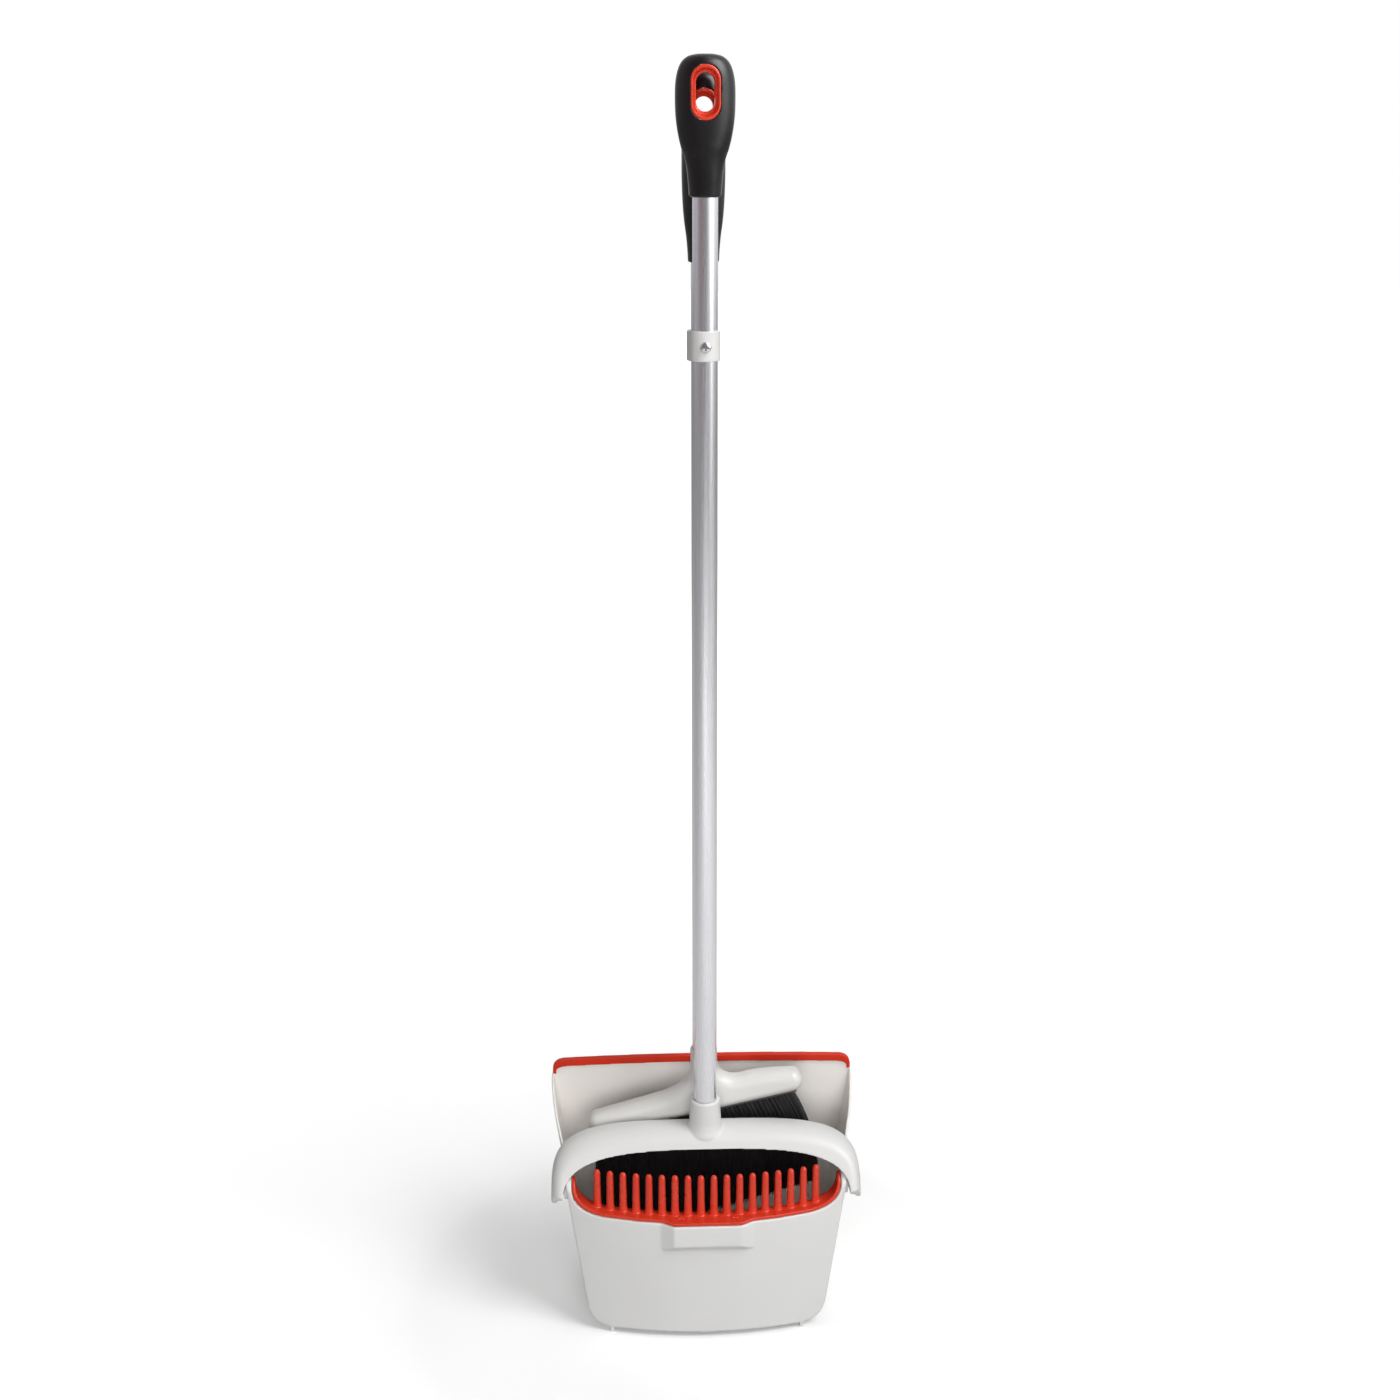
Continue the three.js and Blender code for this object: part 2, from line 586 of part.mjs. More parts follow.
function makeYoke() {
  const armBottom = pivotZ - yokeEndRadius - 1;
  const halfDepth = yokeDepth / 2;
  const roundDepth = halfDepth - 2;
  const body = extrudeFront(
    archOutline(yokeHalfWidth, yokeCrownTop, yokeOuterPower, yokeSpring - 2 * yokeEdgeRound),
    -halfDepth + roundDepth, halfDepth - roundDepth, 4,
    { bevelEnabled: true, bevelThickness: roundDepth, bevelSize: yokeEdgeRound,
      bevelOffset: -yokeEdgeRound, bevelSegments: 4 });
  const opening = extrudeFront(archOutline(yokeArmInner, yokeCrownBottom, yokeInnerPower, -1),
    -farOut, farOut);

  const crownMiddle = (yokeCrownTop + yokeCrownBottom) / 2;
  const lean = -pivotY / (crownMiddle - pivotZ);
  const leaning = body.subtract(opening).translate([0, 0, -crownMiddle])
    .transform([1, 0, 0, 0, 0, 1, 0, 0, 0, lean, 1, 0, 0, 0, 0, 1])
    .translate([0, 0, crownMiddle]);

  const sideView = new THREE.Shape();
  sideView.moveTo(pivotY + yokeEndRadius, pivotZ);
  sideView.lineTo(halfDepth + 6, crownMiddle);
  sideView.lineTo(halfDepth + 6, farOut);
  sideView.lineTo(-farOut, farOut);
  sideView.lineTo(-farOut, pivotZ + yokeDepth);
  sideView.lineTo(pivotY - yokeEndRadius, pivotZ);
  sideView.absarc(pivotY, pivotZ, yokeEndRadius, Math.PI, 2 * Math.PI, false);
  const earTurn = cylinderX(earRadius + earRoom, -yokeArmInner, yokeArmInner, roundSides)
    .translate([0, pivotY, pivotZ]);
  const earTop = box(-yokeArmInner, yokeArmInner, pivotY, farOut, armBottom, pivotZ + earRadius + earRoom);
  const arms = leaning
    .intersect(extrudeFront(armTipOutline(armBottom), -farOut, farOut))
    .intersect(extrudeSide(sideView, -farOut, farOut))
    .subtract(union(earTurn, earTop));

  const radius = socketDiameter / 2;
  const foot = yokeCrownBottom + 1;
  const socket = solid(turned([
    [0, foot], [radius + socketFlare, foot], [radius + socketFlare, yokeCrownTop - 5],
    [radius + socketFlare * 0.55, yokeCrownTop - 1], [radius + socketFlare * 0.25, yokeCrownTop + 4],
    [radius, socketTop - 1], [radius - 1, socketTop], [0, socketTop],
  ]));
  const socketPart = socket.intersect(cylinderZ(farOut, yokeCrownBottom, farOut, 4));
  const screwHole = cylinderY(neckScrewDiameter / 2 + clearance, 0, farOut)
    .translate([0, 0, socketScrewZ]);
  const boreEnd = yokeArmInner + pivotArmDepth + clearance;
  const armBores = cylinderX(bushDiameter / 2 - bushWall - clearance, -boreEnd, boreEnd)
    .translate([0, pivotY, pivotZ]);
  return union(arms, socketPart)
    .subtract(cylinderZ(tubeBore, socketFloor, farOut))
    .subtract(screwHole)
    .subtract(armBores);
}

// ---------------------------------------------------------------- pivots

const mirrored = (side, manifold) => (side < 0 ? manifold.mirror([1, 0, 0]) : manifold);

function makeBush(side) {
  const bush = cylinderX(bushDiameter / 2, pivotBossInner, pivotBossOuter)
    .subtract(cylinderX(bushDiameter / 2 - bushWall, 0, farOut));
  return mirrored(side, bush).translate([0, pivotY, pivotZ]);
}

function makePivotPin(side) {
  const headTop = pivotBossInner - clearance;
  const shank = cylinderX(bushDiameter / 2 - bushWall - 2 * clearance, headTop - 1,
    yokeArmInner + pivotArmDepth);
  const head = cylinderX(pivotHeadDiameter / 2, headTop - pivotHeadHeight, headTop, roundSides);
  return mirrored(side, shank.add(head)).translate([0, pivotY, pivotZ]);
}

// ---------------------------------------------------------------- tubes, plugs and screws

function makeTube(bottom, top, y, cuts) {
  const tube = cylinderZ(tubeDiameter / 2, bottom, top)
    .subtract(cylinderZ(tubeDiameter / 2 - tubeWall, bottom - 1, top + 1));
  return cuts.reduce((whole, cut) => whole.subtract(cut), tube).translate([0, y, 0]);
}

// A plug inside a tube's end with a flange over the end; up is 1 at a top end and -1 at a bottom end.
function makePlug(end, up, y) {
  const inside = cylinderZ(tubeDiameter / 2 - tubeWall - clearance,
    Math.min(end, end - up * plugLength), Math.max(end, end - up * plugLength));
  const flangeStart = end + up * clearance;
  const flange = cylinderZ(tubeDiameter / 2, Math.min(flangeStart, flangeStart + up * plugFlange),
    Math.max(flangeStart, flangeStart + up * plugFlange));
  const join = cylinderZ(tubeDiameter / 2 - tubeWall - clearance, Math.min(end, flangeStart) - 0.1,
    Math.max(end, flangeStart) + 0.1);
  return union(inside, join, flange).translate([0, y, 0]);
}

// A screw from behind through a sleeve and the tube's wall; its head sits on the sleeve's back.
function makeBackScrew(sleeveRadius, y, z) {
  const seat = sleeveRadius + clearance;
  const head = cylinderY(neckScrewHead / 2, seat, seat + neckScrewHeadHeight);
  const shank = cylinderY(neckScrewDiameter / 2, tubeDiameter / 2 - tubeWall - 3, seat + 0.5);
  const slotFloor = seat + neckScrewHeadHeight - recessDepth / 2;
  const slot = box(-recessWidth / 2, recessWidth / 2, slotFloor, farOut, -neckScrewHead, neckScrewHead);
  return union(head, shank).subtract(slot).translate([0, y, z]);
}

// ---------------------------------------------------------------- clip

function makeClip() {
  const top = clipBottom + clipHeight;
  const collarRadius = tubeBore + collarWall;
  const springRadius = tubeBore + springWall;
  const springBottom = clipBottom - clipDrop;
  const springTop = top - clipDrop;
  const collar = cylinderZ(collarRadius, clipBottom, top);
  const spring = cylinderZ(springRadius, springBottom, springTop).translate([0, tubeSpacing, 0]);
  const web = box(-clipWebHalf, clipWebHalf,
    collarRadius - collarWall, tubeSpacing - springRadius + springWall, springBottom, top);
  const mouth = extrudePlan(polygon([
    [-clipMouth, tubeSpacing + clipWrap], [clipMouth, tubeSpacing + clipWrap],
    [clipMouth + springWall, tubeSpacing + farOut], [-clipMouth - springWall, tubeSpacing + farOut],
  ]), 0, overTop);
  const screwHole = cylinderY(screwDiameter / 2 + clearance, -farOut, 0).translate([0, 0, clipScrewZ]);
  const insertBore = cylinderY(insertDiameter / 2 + clearance, 0, tubeBore + insertLength + 2 * clearance)
    .translate([0, 0, clipScrewZ]);
  return union(collar, spring, web)
    .subtract(cylinderZ(tubeBore, 0, overTop))
    .subtract(cylinderZ(tubeBore, 0, overTop).translate([0, tubeSpacing, 0]))
    .subtract(mouth)
    .subtract(screwHole)
    .subtract(insertBore);
}

function makeClipScrew() {
  const seat = -(tubeBore + collarWall + clearance);
  const radius = screwHeadDiameter / 2;
  const head = turned([[0, 0], [radius, 0], [radius, 0.8], [radius - 0.6, 1.7], [radius - 1.7, 2.3],
    [0, screwHeadHeight]], 20);
  head.rotateX(Math.PI / 2);
  const shank = cylinderY(screwDiameter / 2, seat - 0.5, tubeBore + insertLength);
  const across = (width, height) => box(-width / 2, width / 2,
    seat - screwHeadHeight - 1, seat - screwHeadHeight + recessDepth, -height / 2, height / 2);
  return union(solid(head).translate([0, seat, 0]), shank)
    .subtract(across(recessWidth, recessLength))
    .subtract(across(recessLength, recessWidth))
    .translate([0, 0, clipScrewZ]);
}

function makeClipInsert() {
  const start = tubeBore + clearance;
  return cylinderY(insertDiameter / 2, start, start + insertLength)
    .subtract(cylinderY(screwDiameter / 2 + clearance, 0, start + insertLength + 1))
    .translate([0, 0, clipScrewZ]);
}

// ---------------------------------------------------------------- grips

// A soft form turned on its half widths and flattened front to back to its half depths.
function gripBody(sections, y) {
  const bottom = sections[0][0];
  const top = gripTop(sections);
  const geometry = turned([[0, bottom], ...sections.map(([z, half]) => [half, z]), [0, top]], 24);
  const position = geometry.attributes.position;
  for (let i = 0; i < position.count; i++) {
    const z = position.getZ(i);
    const section = sections.find(([height]) => Math.abs(height - z) < 1e-3);
    position.setY(i, position.getY(i) * section[2] / section[1]);
  }
  return solid(geometry).translate([0, y, 0]);
}

function oval(width, height, z) {
  const radius = width / 2;
  const straight = (height - width) / 2;
  const shape = new THREE.Shape();
  shape.moveTo(radius, z - straight);
  shape.lineTo(radius, z + straight);
  shape.absarc(0, z + straight, radius, 0, Math.PI, false);
  shape.lineTo(-radius, z - straight);
  shape.absarc(0, z - straight, radius, Math.PI, 2 * Math.PI, false);
  return shape;
}

function makeGrip(sections, y, bore, holeZ, holeWidth, holeHeight) {
  const outer = 2 * (ringWall + clearance);
  const ringSeat = oval(holeWidth + outer, holeHeight + outer + 2 * ringExtra, holeZ);
  return gripBody(sections, y)
    .subtract(cylinderZ(tubeBore, 0, bore + plugFlange + 2 * clearance).translate([0, y, 0]))
    .subtract(extrudeFront(ringSeat, -farOut, farOut, 6));
}

function makeGripRing(sections, y, holeZ, holeWidth, holeHeight) {
  const halfDepth = Math.max(...sections.map((section) => section[2]));
  const liner = extrudeFront(oval(holeWidth + 2 * ringWall, holeHeight + 2 * ringWall + 2 * ringExtra, holeZ),
    -farOut, farOut, 6).intersect(gripBody(sections, y));
  const opening = extrudeFront(oval(holeWidth, holeHeight, holeZ), -farOut, farOut, 6);
  const flareDepth = halfDepth * 0.5;
  const mouths = [y - halfDepth, y + halfDepth].map((face) =>
    extrudeFront(oval(holeWidth + 2 * ringFlare, holeHeight + 2 * (ringFlare + ringExtra / 2), holeZ),
      face - 0.2, face + 0.2, 6,
      { bevelEnabled: true, bevelThickness: flareDepth, bevelSize: ringFlare, bevelOffset: -ringFlare,
        bevelSegments: 3 }));
  return mouths.reduce((whole, mouth) => whole.subtract(mouth), liner.subtract(opening));
}

// ---------------------------------------------------------------- broom head and bristles

// Front view of the head: two tilted arms of round ends and a neck with wide fillets.
function headOutline(inset) {
  const tilt = Math.atan2(headRightEnd[1] - headLeftEnd[1], headRightEnd[0] - headLeftEnd[0]);
  const [lx, lz] = headLeftEnd;
  const [rx, rz] = headRightEnd;
  const leftRadius = headLeftRadius - inset;
  const rightRadius = headRightRadius - inset;
  const neck = neckDiameter / 2 - inset;
  const axisZ = (x) => lz + (x - lx) * Math.tan(tilt);
  const above = (x) => axisZ(x) + (x < 0 ? headLeftShoulder : headRightShoulder) - inset;
  const up = tilt + Math.PI / 2;
  const shape = new THREE.Shape();
  shape.moveTo(lx - leftRadius * Math.cos(up), lz - leftRadius * Math.sin(up));
  shape.lineTo(rx - rightRadius * Math.cos(up), rz - rightRadius * Math.sin(up));
  shape.absarc(rx, rz, rightRadius, tilt - Math.PI / 2, up, false);
  const rightFoot = neck + headFilletReach;
  shape.lineTo(rightFoot, above(rightFoot));
  shape.bezierCurveTo(neck + headFilletReach * 0.4, above(neck), neck,
    above(neck) + headFilletRise * 0.3, neck, above(neck) + headFilletRise);
  shape.lineTo(neck, neckTop);
  shape.lineTo(-neck, neckTop);
  shape.lineTo(-neck, above(-neck) + headFilletRise);
  const leftFoot = -neck - headFilletReach;
  shape.bezierCurveTo(-neck, above(-neck) + headFilletRise * 0.3, -neck - headFilletReach * 0.4,
    above(-neck), leftFoot, above(leftFoot));
  shape.lineTo(lx + leftRadius * Math.cos(up), lz + leftRadius * Math.sin(up));
  shape.absarc(lx, lz, leftRadius, up, tilt + 3 * Math.PI / 2, false);
  return shape;
}

const headSlope = (headRightEnd[1] - headLeftEnd[1]) / (headRightEnd[0] - headLeftEnd[0]);
const headAxisZ = (x) => headLeftEnd[1] + (x - headLeftEnd[0]) * headSlope;
const headBottomZ = (x) => headAxisZ(x) - headLeftRadius * Math.hypot(1, headSlope);

// A tilted bar that follows the head's underside, between two depths below its bottom line.
function tiltedBar(xMin, xMax, low, high, yMin, yMax) {
  return extrudeFront(polygon([
    [xMin, headBottomZ(xMin) + low], [xMax, headBottomZ(xMax) + low],
    [xMax, headBottomZ(xMax) + high], [xMin, headBottomZ(xMin) + high],
  ]), yMin, yMax);
}

function makeBroomHead() {
  const core = 1.5;
  const body = extrudeFront(headOutline(0), tubeSpacing - core, tubeSpacing + core, 5,
    { bevelEnabled: true, bevelThickness: headHalfDepth - core, bevelSize: headLeftRadius - core,
      bevelOffset: -(headLeftRadius - core), bevelSegments: 4 });
  const neck = cylinderZ(neckDiameter / 2, neckFloor - neckFoot, neckTop).translate([0, tubeSpacing, 0]);
  const bodyBelow = body.intersect(box(-farOut, farOut, -farOut, farOut, 0, neckTop - neckLap));
  const bore = cylinderZ(tubeBore, neckFloor - plugFlange - 2 * clearance, farOut)
    .translate([0, tubeSpacing, 0]);
  const pocketHalf = blockWidth / 2 + clearance;
  const pocket = tiltedBar(blockLeft - clearance, blockRight + clearance, -farOut / 10,
    blockThickness + clearance, tubeSpacing - pocketHalf, tubeSpacing + pocketHalf);
  const screwHole = cylinderY(neckScrewDiameter / 2 + clearance, tubeSpacing, farOut)
    .translate([0, 0, neckScrewZ]);
  return union(bodyBelow, neck).subtract(bore).subtract(pocket).subtract(screwHole);
}

const rowPitch = rowThickness + clearance;
const rowY = (row) => (row - (bristleRows - 1) / 2) * rowPitch;

function makeBristleBlock() {
  const bar = tiltedBar(blockLeft, blockRight, 0.4, blockThickness,
    tubeSpacing - blockWidth / 2, tubeSpacing + blockWidth / 2);
  const grooves = [];
  for (let row = 0; row < bristleRows; row++) {
    const middle = tubeSpacing + rowY(row);
    grooves.push(tiltedBar(blockLeft + 2, blockRight - 2, -1, bristleSink + clearance,
      middle - rowThickness / 2 - clearance / 2, middle + rowThickness / 2 + clearance / 2));
  }
  return grooves.reduce((whole, groove) => whole.subtract(groove), bar);
}

function makeBristleRow(row) {
  const left = blockLeft + 2 + clearance;
  const right = blockRight - 2 - clearance;
  const roots = [[left, headBottomZ(left) + bristleSink], [right, headBottomZ(right) + bristleSink]];
  const mouths = [[left, headBottomZ(left) - clearance], [right, headBottomZ(right) - clearance]];
  const outline = polygon([
    roots[0], mouths[0], bristleShoulder, bristleTipLeft, bristleTipRight, mouths[1], roots[1],
  ]);
  const geometry = new THREE.ExtrudeGeometry(outline, { depth: rowThickness, steps: 1, bevelEnabled: false });
  geometry.rotateX(Math.PI / 2);
  geometry.translate(0, rowThickness / 2 + rowY(row), 0);
  const position = geometry.attributes.position;
  for (let i = 0; i < position.count; i++) {
    const below = headBottomZ(position.getX(i)) - 2 * clearance - position.getZ(i);
    const spread = below > 0 ? rowTipThickness / rowThickness : 1;
    position.setY(i, tubeSpacing + position.getY(i) * spread);
  }
  return solid(geometry);
}

// ---------------------------------------------------------------- the set

const panTubeBottom = socketFloor + plugFlange + 2 * clearance;
const broomTubeBottom = neckFloor;
const tubeHole = (z) => cylinderY(screwDiameter / 2 + clearance, -farOut, farOut).translate([0, 0, z]);
const tubeBackHole = (z) => cylinderY(neckScrewDiameter / 2 + clearance, 0, farOut).translate([0, 0, z]);
const plugHole = (z, y) => cylinderY(neckScrewDiameter / 2 + clearance, y, farOut).translate([0, 0, z]);

addPart(panGroup, 'pan_shell', makePanShell(), whitePlastic);
addPart(panGroup, 'pan_lip', makeLip(), redRubber);
addPart(panGroup, 'comb', makeComb(), redPlastic);
addPart(panGroup, 'comb_stake_left', makeStake(-stakeX), redPlastic);
addPart(panGroup, 'comb_stake_right', makeStake(stakeX), redPlastic);
addPart(panGroup, 'pivot_bush_left', makeBush(-1), greyPlastic);
addPart(panGroup, 'pivot_bush_right', makeBush(1), greyPlastic);

addPart(handleGroup, 'yoke', makeYoke(), whitePlastic);
addPart(handleGroup, 'pivot_pin_left', makePivotPin(-1), whitePlastic);
addPart(handleGroup, 'pivot_pin_right', makePivotPin(1), whitePlastic);
addPart(handleGroup, 'pan_tube',
  makeTube(panTubeBottom, panGripBore, 0, [tubeHole(clipScrewZ), tubeBackHole(socketScrewZ)]), aluminium);
addPart(handleGroup, 'pan_tube_foot_plug',
  makePlug(panTubeBottom, -1, 0).subtract(plugHole(socketScrewZ, 0)), greyPlastic);
addPart(handleGroup, 'pan_tube_top_plug', makePlug(panGripBore, 1, 0), greyPlastic);
addPart(handleGroup, 'socket_screw',
  makeBackScrew(socketDiameter / 2 + socketFlare / 4, 0, socketScrewZ), zincSteel);
addPart(handleGroup, 'clip', makeClip(), whitePlastic);
addPart(handleGroup, 'clip_screw', makeClipScrew(), chrome);
addPart(handleGroup, 'clip_insert', makeClipInsert(), zincSteel);
addPart(handleGroup, 'pan_grip',
  makeGrip(panGripSections, 0, panGripBore, panHoleZ, panHoleWidth, panHoleHeight), blackRubber);
addPart(handleGroup, 'pan_grip_ring',
  makeGripRing(panGripSections, 0, panHoleZ, panHoleWidth, panHoleHeight), redPlastic);

addPart(broomGroup, 'broom_tube',
  makeTube(broomTubeBottom, broomGripBore, tubeSpacing, [tubeBackHole(neckScrewZ)]), aluminium);
addPart(broomGroup, 'broom_tube_foot_plug',
  makePlug(broomTubeBottom, -1, tubeSpacing).subtract(plugHole(neckScrewZ, tubeSpacing)), greyPlastic);
addPart(broomGroup, 'broom_tube_top_plug', makePlug(broomGripBore, 1, tubeSpacing), greyPlastic);
addPart(broomGroup, 'neck_screw', makeBackScrew(neckDiameter / 2, tubeSpacing, neckScrewZ), zincSteel);
addPart(broomGroup, 'broom_head', makeBroomHead(), headPlastic);
addPart(broomGroup, 'bristle_block', makeBristleBlock(), greyPlastic);
for (let row = 0; row < bristleRows; row++) {
  addPart(broomGroup, `bristle_row_${row + 1}`, makeBristleRow(row), blackBristle);
}
addPart(broomGroup, 'broom_grip',
  makeGrip(broomGripSections, tubeSpacing, broomGripBore, broomHoleZ, broomHoleWidth, broomHoleHeight),
  blackRubber);
addPart(broomGroup, 'broom_grip_ring',
  makeGripRing(broomGripSections, tubeSpacing, broomHoleZ, broomHoleWidth, broomHoleHeight), redPlastic);

const reach = new THREE.Box3().setFromObject(set);
set.position.set(-(reach.min.x + reach.max.x) / 2, -(reach.min.y + reach.max.y) / 2, -reach.min.z);

export default set;
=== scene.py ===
"""Looks of the upright dust pan and broom set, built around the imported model.

Sizes are in millimetres in the part's own frame, with the pan tube's axis at x = 0, y = 0, and
become metres in the row frame where a mesh is made. White mouldings, red comb, lip and rings, soft
black grips, satin tubes and three rows of filament tufts each get their own surface.
"""

import math
import random

import bmesh
import bpy
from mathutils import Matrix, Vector


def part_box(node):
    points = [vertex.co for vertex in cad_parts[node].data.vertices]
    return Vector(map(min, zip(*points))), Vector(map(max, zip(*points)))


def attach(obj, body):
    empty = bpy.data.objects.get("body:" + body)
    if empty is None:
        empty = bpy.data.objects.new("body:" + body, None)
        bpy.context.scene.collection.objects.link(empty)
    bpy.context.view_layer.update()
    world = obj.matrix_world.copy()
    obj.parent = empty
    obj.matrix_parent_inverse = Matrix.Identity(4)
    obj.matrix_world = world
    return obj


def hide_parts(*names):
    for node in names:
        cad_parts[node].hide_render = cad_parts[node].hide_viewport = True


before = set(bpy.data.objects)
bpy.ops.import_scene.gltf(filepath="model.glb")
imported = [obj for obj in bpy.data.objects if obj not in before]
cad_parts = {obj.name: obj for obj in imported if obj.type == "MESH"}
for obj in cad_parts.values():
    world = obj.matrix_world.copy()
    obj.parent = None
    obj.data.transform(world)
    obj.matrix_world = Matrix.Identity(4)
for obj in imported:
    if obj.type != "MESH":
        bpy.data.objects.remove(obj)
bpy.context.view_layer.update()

MM = 0.001
FAR = 400.0                             # past every cut
ABOVE = 1200.0                          # over the whole set


def middle(node, axis):
    """Middle of a CAD node's box along one axis, in millimetres."""
    low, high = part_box(node)
    return (low[axis] + high[axis]) / 2 / MM


TUBE_Y = middle("pan_tube", 1)          # of the pan tube's axis, in the row frame
TUBE_GAP = middle("broom_tube", 1) - TUBE_Y
CLEARANCE = 0.3

# ---------------------------------------------------------------- sizes

TUBE_RADIUS = 9.5
TUBE_WALL = 1.0
TUBE_BORE = TUBE_RADIUS + CLEARANCE     # of what holds a tube
TUBE_EDGE = (0.3, 0.2)                  # height and depth of the broken edge at its ends
TUBE_STEPS = 40
TUBE_SIDES = 72

PAN_FRONT_Y = -54.0
PAN_FRONT_RADIUS = 310.0
PAN_SIDE = (97.5, 0.153)                # half width at the ground, lean outwards per mm
PAN_FLARE = 6.0                         # each side stands this much further out at the back
PAN_BACK_Y = 70.4
PAN_MOUTH_Z = 196.5
PAN_WALL = 2.4
BULGE_FACETS = 14                       # flats that the CAD's hood is made of
BULGE_REACH = (0.6, PAN_WALL + 1.2)     # how far before and behind its face the hood is rounded
FOOT = (80.0, 3.0, 5.7)                 # middle, thickness, height
FOOT_LENGTH = (0.3, 9.0)                # behind the hood's front, short of the pan's back
STUD = (2.95, 0.8, 3)                   # mean radius, height of a lobe, lobes
STUD_SIDES = 60
# share of the stud's outline, height over the comb
STUD_RISE = [(0.92, 0.0), (1.0, 0.25), (0.97, 0.7), (0.82, 1.05), (0.5, 0.95), (0.2, 0.55), (0.04, 0.5)]

PIVOT = (-22.0, 124.0)
YOKE_OUTER = (129.83, 170.5, 4.0)       # half width, crown height, squareness
YOKE_INNER = (120.43, 157.0, 3.1)
YOKE_SPRING = 116.0
YOKE_DEPTH = 31.0
YOKE_CORE = 2.0                         # half of its depth before the edges round off
YOKE_EDGE_ROUND = 9.0
YOKE_CROWN_ROOM = 6.0
YOKE_END_RADIUS = 10.5
YOKE_ARM_FOOT = 118.6
YOKE_TIP = (3.8, 1.4)                   # thickness at the point, more at the root
EAR_RADIUS = 12.3
SOCKET = (12.5, 3.6, 195.0, 159.0)      # radius, flare, top, floor
SOCKET_FOOT = 1.2                       # over the arch's inside
SOCKET_FLARE = [(1.0, -5.0), (0.8, -3.0), (0.55, -1.0), (0.36, 2.0), (0.25, 4.5)]   # share, over the crown
SOCKET_EDGE = 0.8
SOCKET_SCREW_Z = 186.0
SCREW_HOLE = 2.1

CLIP_BOTTOM = 811.0
CLIP_TOP = 833.5
CLIP_DROP = 3.5
CLIP_SCREW_Z = 822.0
COLLAR_RADIUS = TUBE_BORE + 1.6
SPRING_RADIUS = TUBE_BORE + 3.0
CLIP_MOUTH = (8.0, 2.0, 12.0, 40.0)     # half width and start at the jaws, spread and end behind them
CLIP_HOLES = (2.3, 3.8, 5.6)            # the screw's radius, the insert's, the insert's reach past the tube
WEB_HALF = 7.0
WEB_LAP = 2.0
SCREW_SHANK = (2.0, 5.0)                # radius, reach past the tube
SCREW_HEAD = [                          # radius, height over the collar
    (3.9, 0.0), (4.1, 0.25), (4.1, 0.75), (3.85, 1.25), (3.3, 1.75), (2.4, 2.2), (1.2, 2.5), (0.3, 2.56),
]
SCREW_RECESS = (0.62, 2.3, 1.1, 6.0)    # half width and half length of a slot, its floor and its front

# height, half width, half depth
PAN_GRIP = [
    (930, 11.0, 11.0), (930.8, 12.0, 12.0), (940, 12.7, 12.6), (951, 13.8, 13.2), (958, 15.3, 13.6),
    (964, 17.4, 14.0), (971, 19.2, 14.0), (979, 20.7, 14.0), (988, 21.7, 14.0), (998, 22.0, 14.0),
    (1008, 21.8, 13.8), (1015, 20.9, 13.3), (1021, 19.1, 12.3), (1025.5, 16.3, 10.6),
    (1028.6, 11.8, 7.9), (1030, 5.5, 4.0),
]
PAN_GRIP_BORE = 979.6
PAN_HOLE = (1003.5, 13.9, 27.0)         # middle, width, height
BROOM_GRIP = [
    (881, 11.0, 11.0), (881.8, 11.8, 11.8), (890, 12.2, 12.0), (900, 13.1, 12.2), (912, 14.7, 12.4),
    (926, 15.8, 12.6), (945, 16.4, 12.7), (965, 16.4, 12.7), (985, 16.4, 12.7), (1000, 16.2, 12.5),
    (1008, 15.3, 12.0), (1014, 13.2, 10.6), (1017.6, 9.4, 7.8), (1019, 4.6, 4.0),
]
BROOM_GRIP_BORE = 965.6
BROOM_HOLE = (989.0, 13.9, 23.0)
RING_ROOM = 0.12
RING_WALL = 4.0
RING_EXTRA = 2.0
RING_FLARE = 2.6
RING_FLARE_DEPTH = 0.5                  # share of the grip's half depth
RING_FACE = 0.2

NECK = (11.4, 227.0, 186.4)             # radius, top, floor of its bore
NECK_ROOT = (3.0, 6.0, 4.0)             # bevel, and its two heights under the bore's floor
NECK_EDGE = 0.6
NECK_LAP = 12.0
NECK_SCREW_Z = 212.0
HEAD_LEFT = (-89.0, 158.6, 10.3, 14.0)  # x, z, end radius, shoulder above the axis
HEAD_RIGHT = (74.5, 196.0, 10.0, 15.5)
HEAD_FILLET = (26.0, 20.0)              # reach along the arms, rise up the neck
HEAD_SAG = 1.2
HEAD_HALF_DEPTH = 11.0
HEAD_CORE = 1.5
BLOCK = (-86.0, 79.0, 5.0, 14.0)        # left, right, thickness, width
BLOCK_ROOM = 40.0                       # cut away below the block

ROWS = 3
ROW_PITCH = 4.5
ROW_HALF = 2.1
ROW_SPREAD = 7.1 / 4.2
TIP_LEFT = (-96.0, 41.0)
TIP_RIGHT = (102.0, 100.5)
FAN = (7.0, 2.2)                        # how soon the tufts have spread, at the left and the right
TUFTS = 46
TUFT_MARGIN = 4.3                       # from the block's end to the first hole's middle
TUFT_RADIUS = 1.75
TUFT_LAP = 1.5
TIP_RADIUS = 2.2
FILAMENTS = 24
STRAND_RADIUS = 0.30
STRAND_TAPER = 0.45
STRAND_STEPS = 7
STEP_BUNCHING = 1.5                     # above 1, the steps are closer near the head
CORE_COLUMNS = 260
CORE_LEVELS = 10
CORE_MARGIN = 3.0
CORE_LENGTH = 0.95

# ---------------------------------------------------------------- mesh code


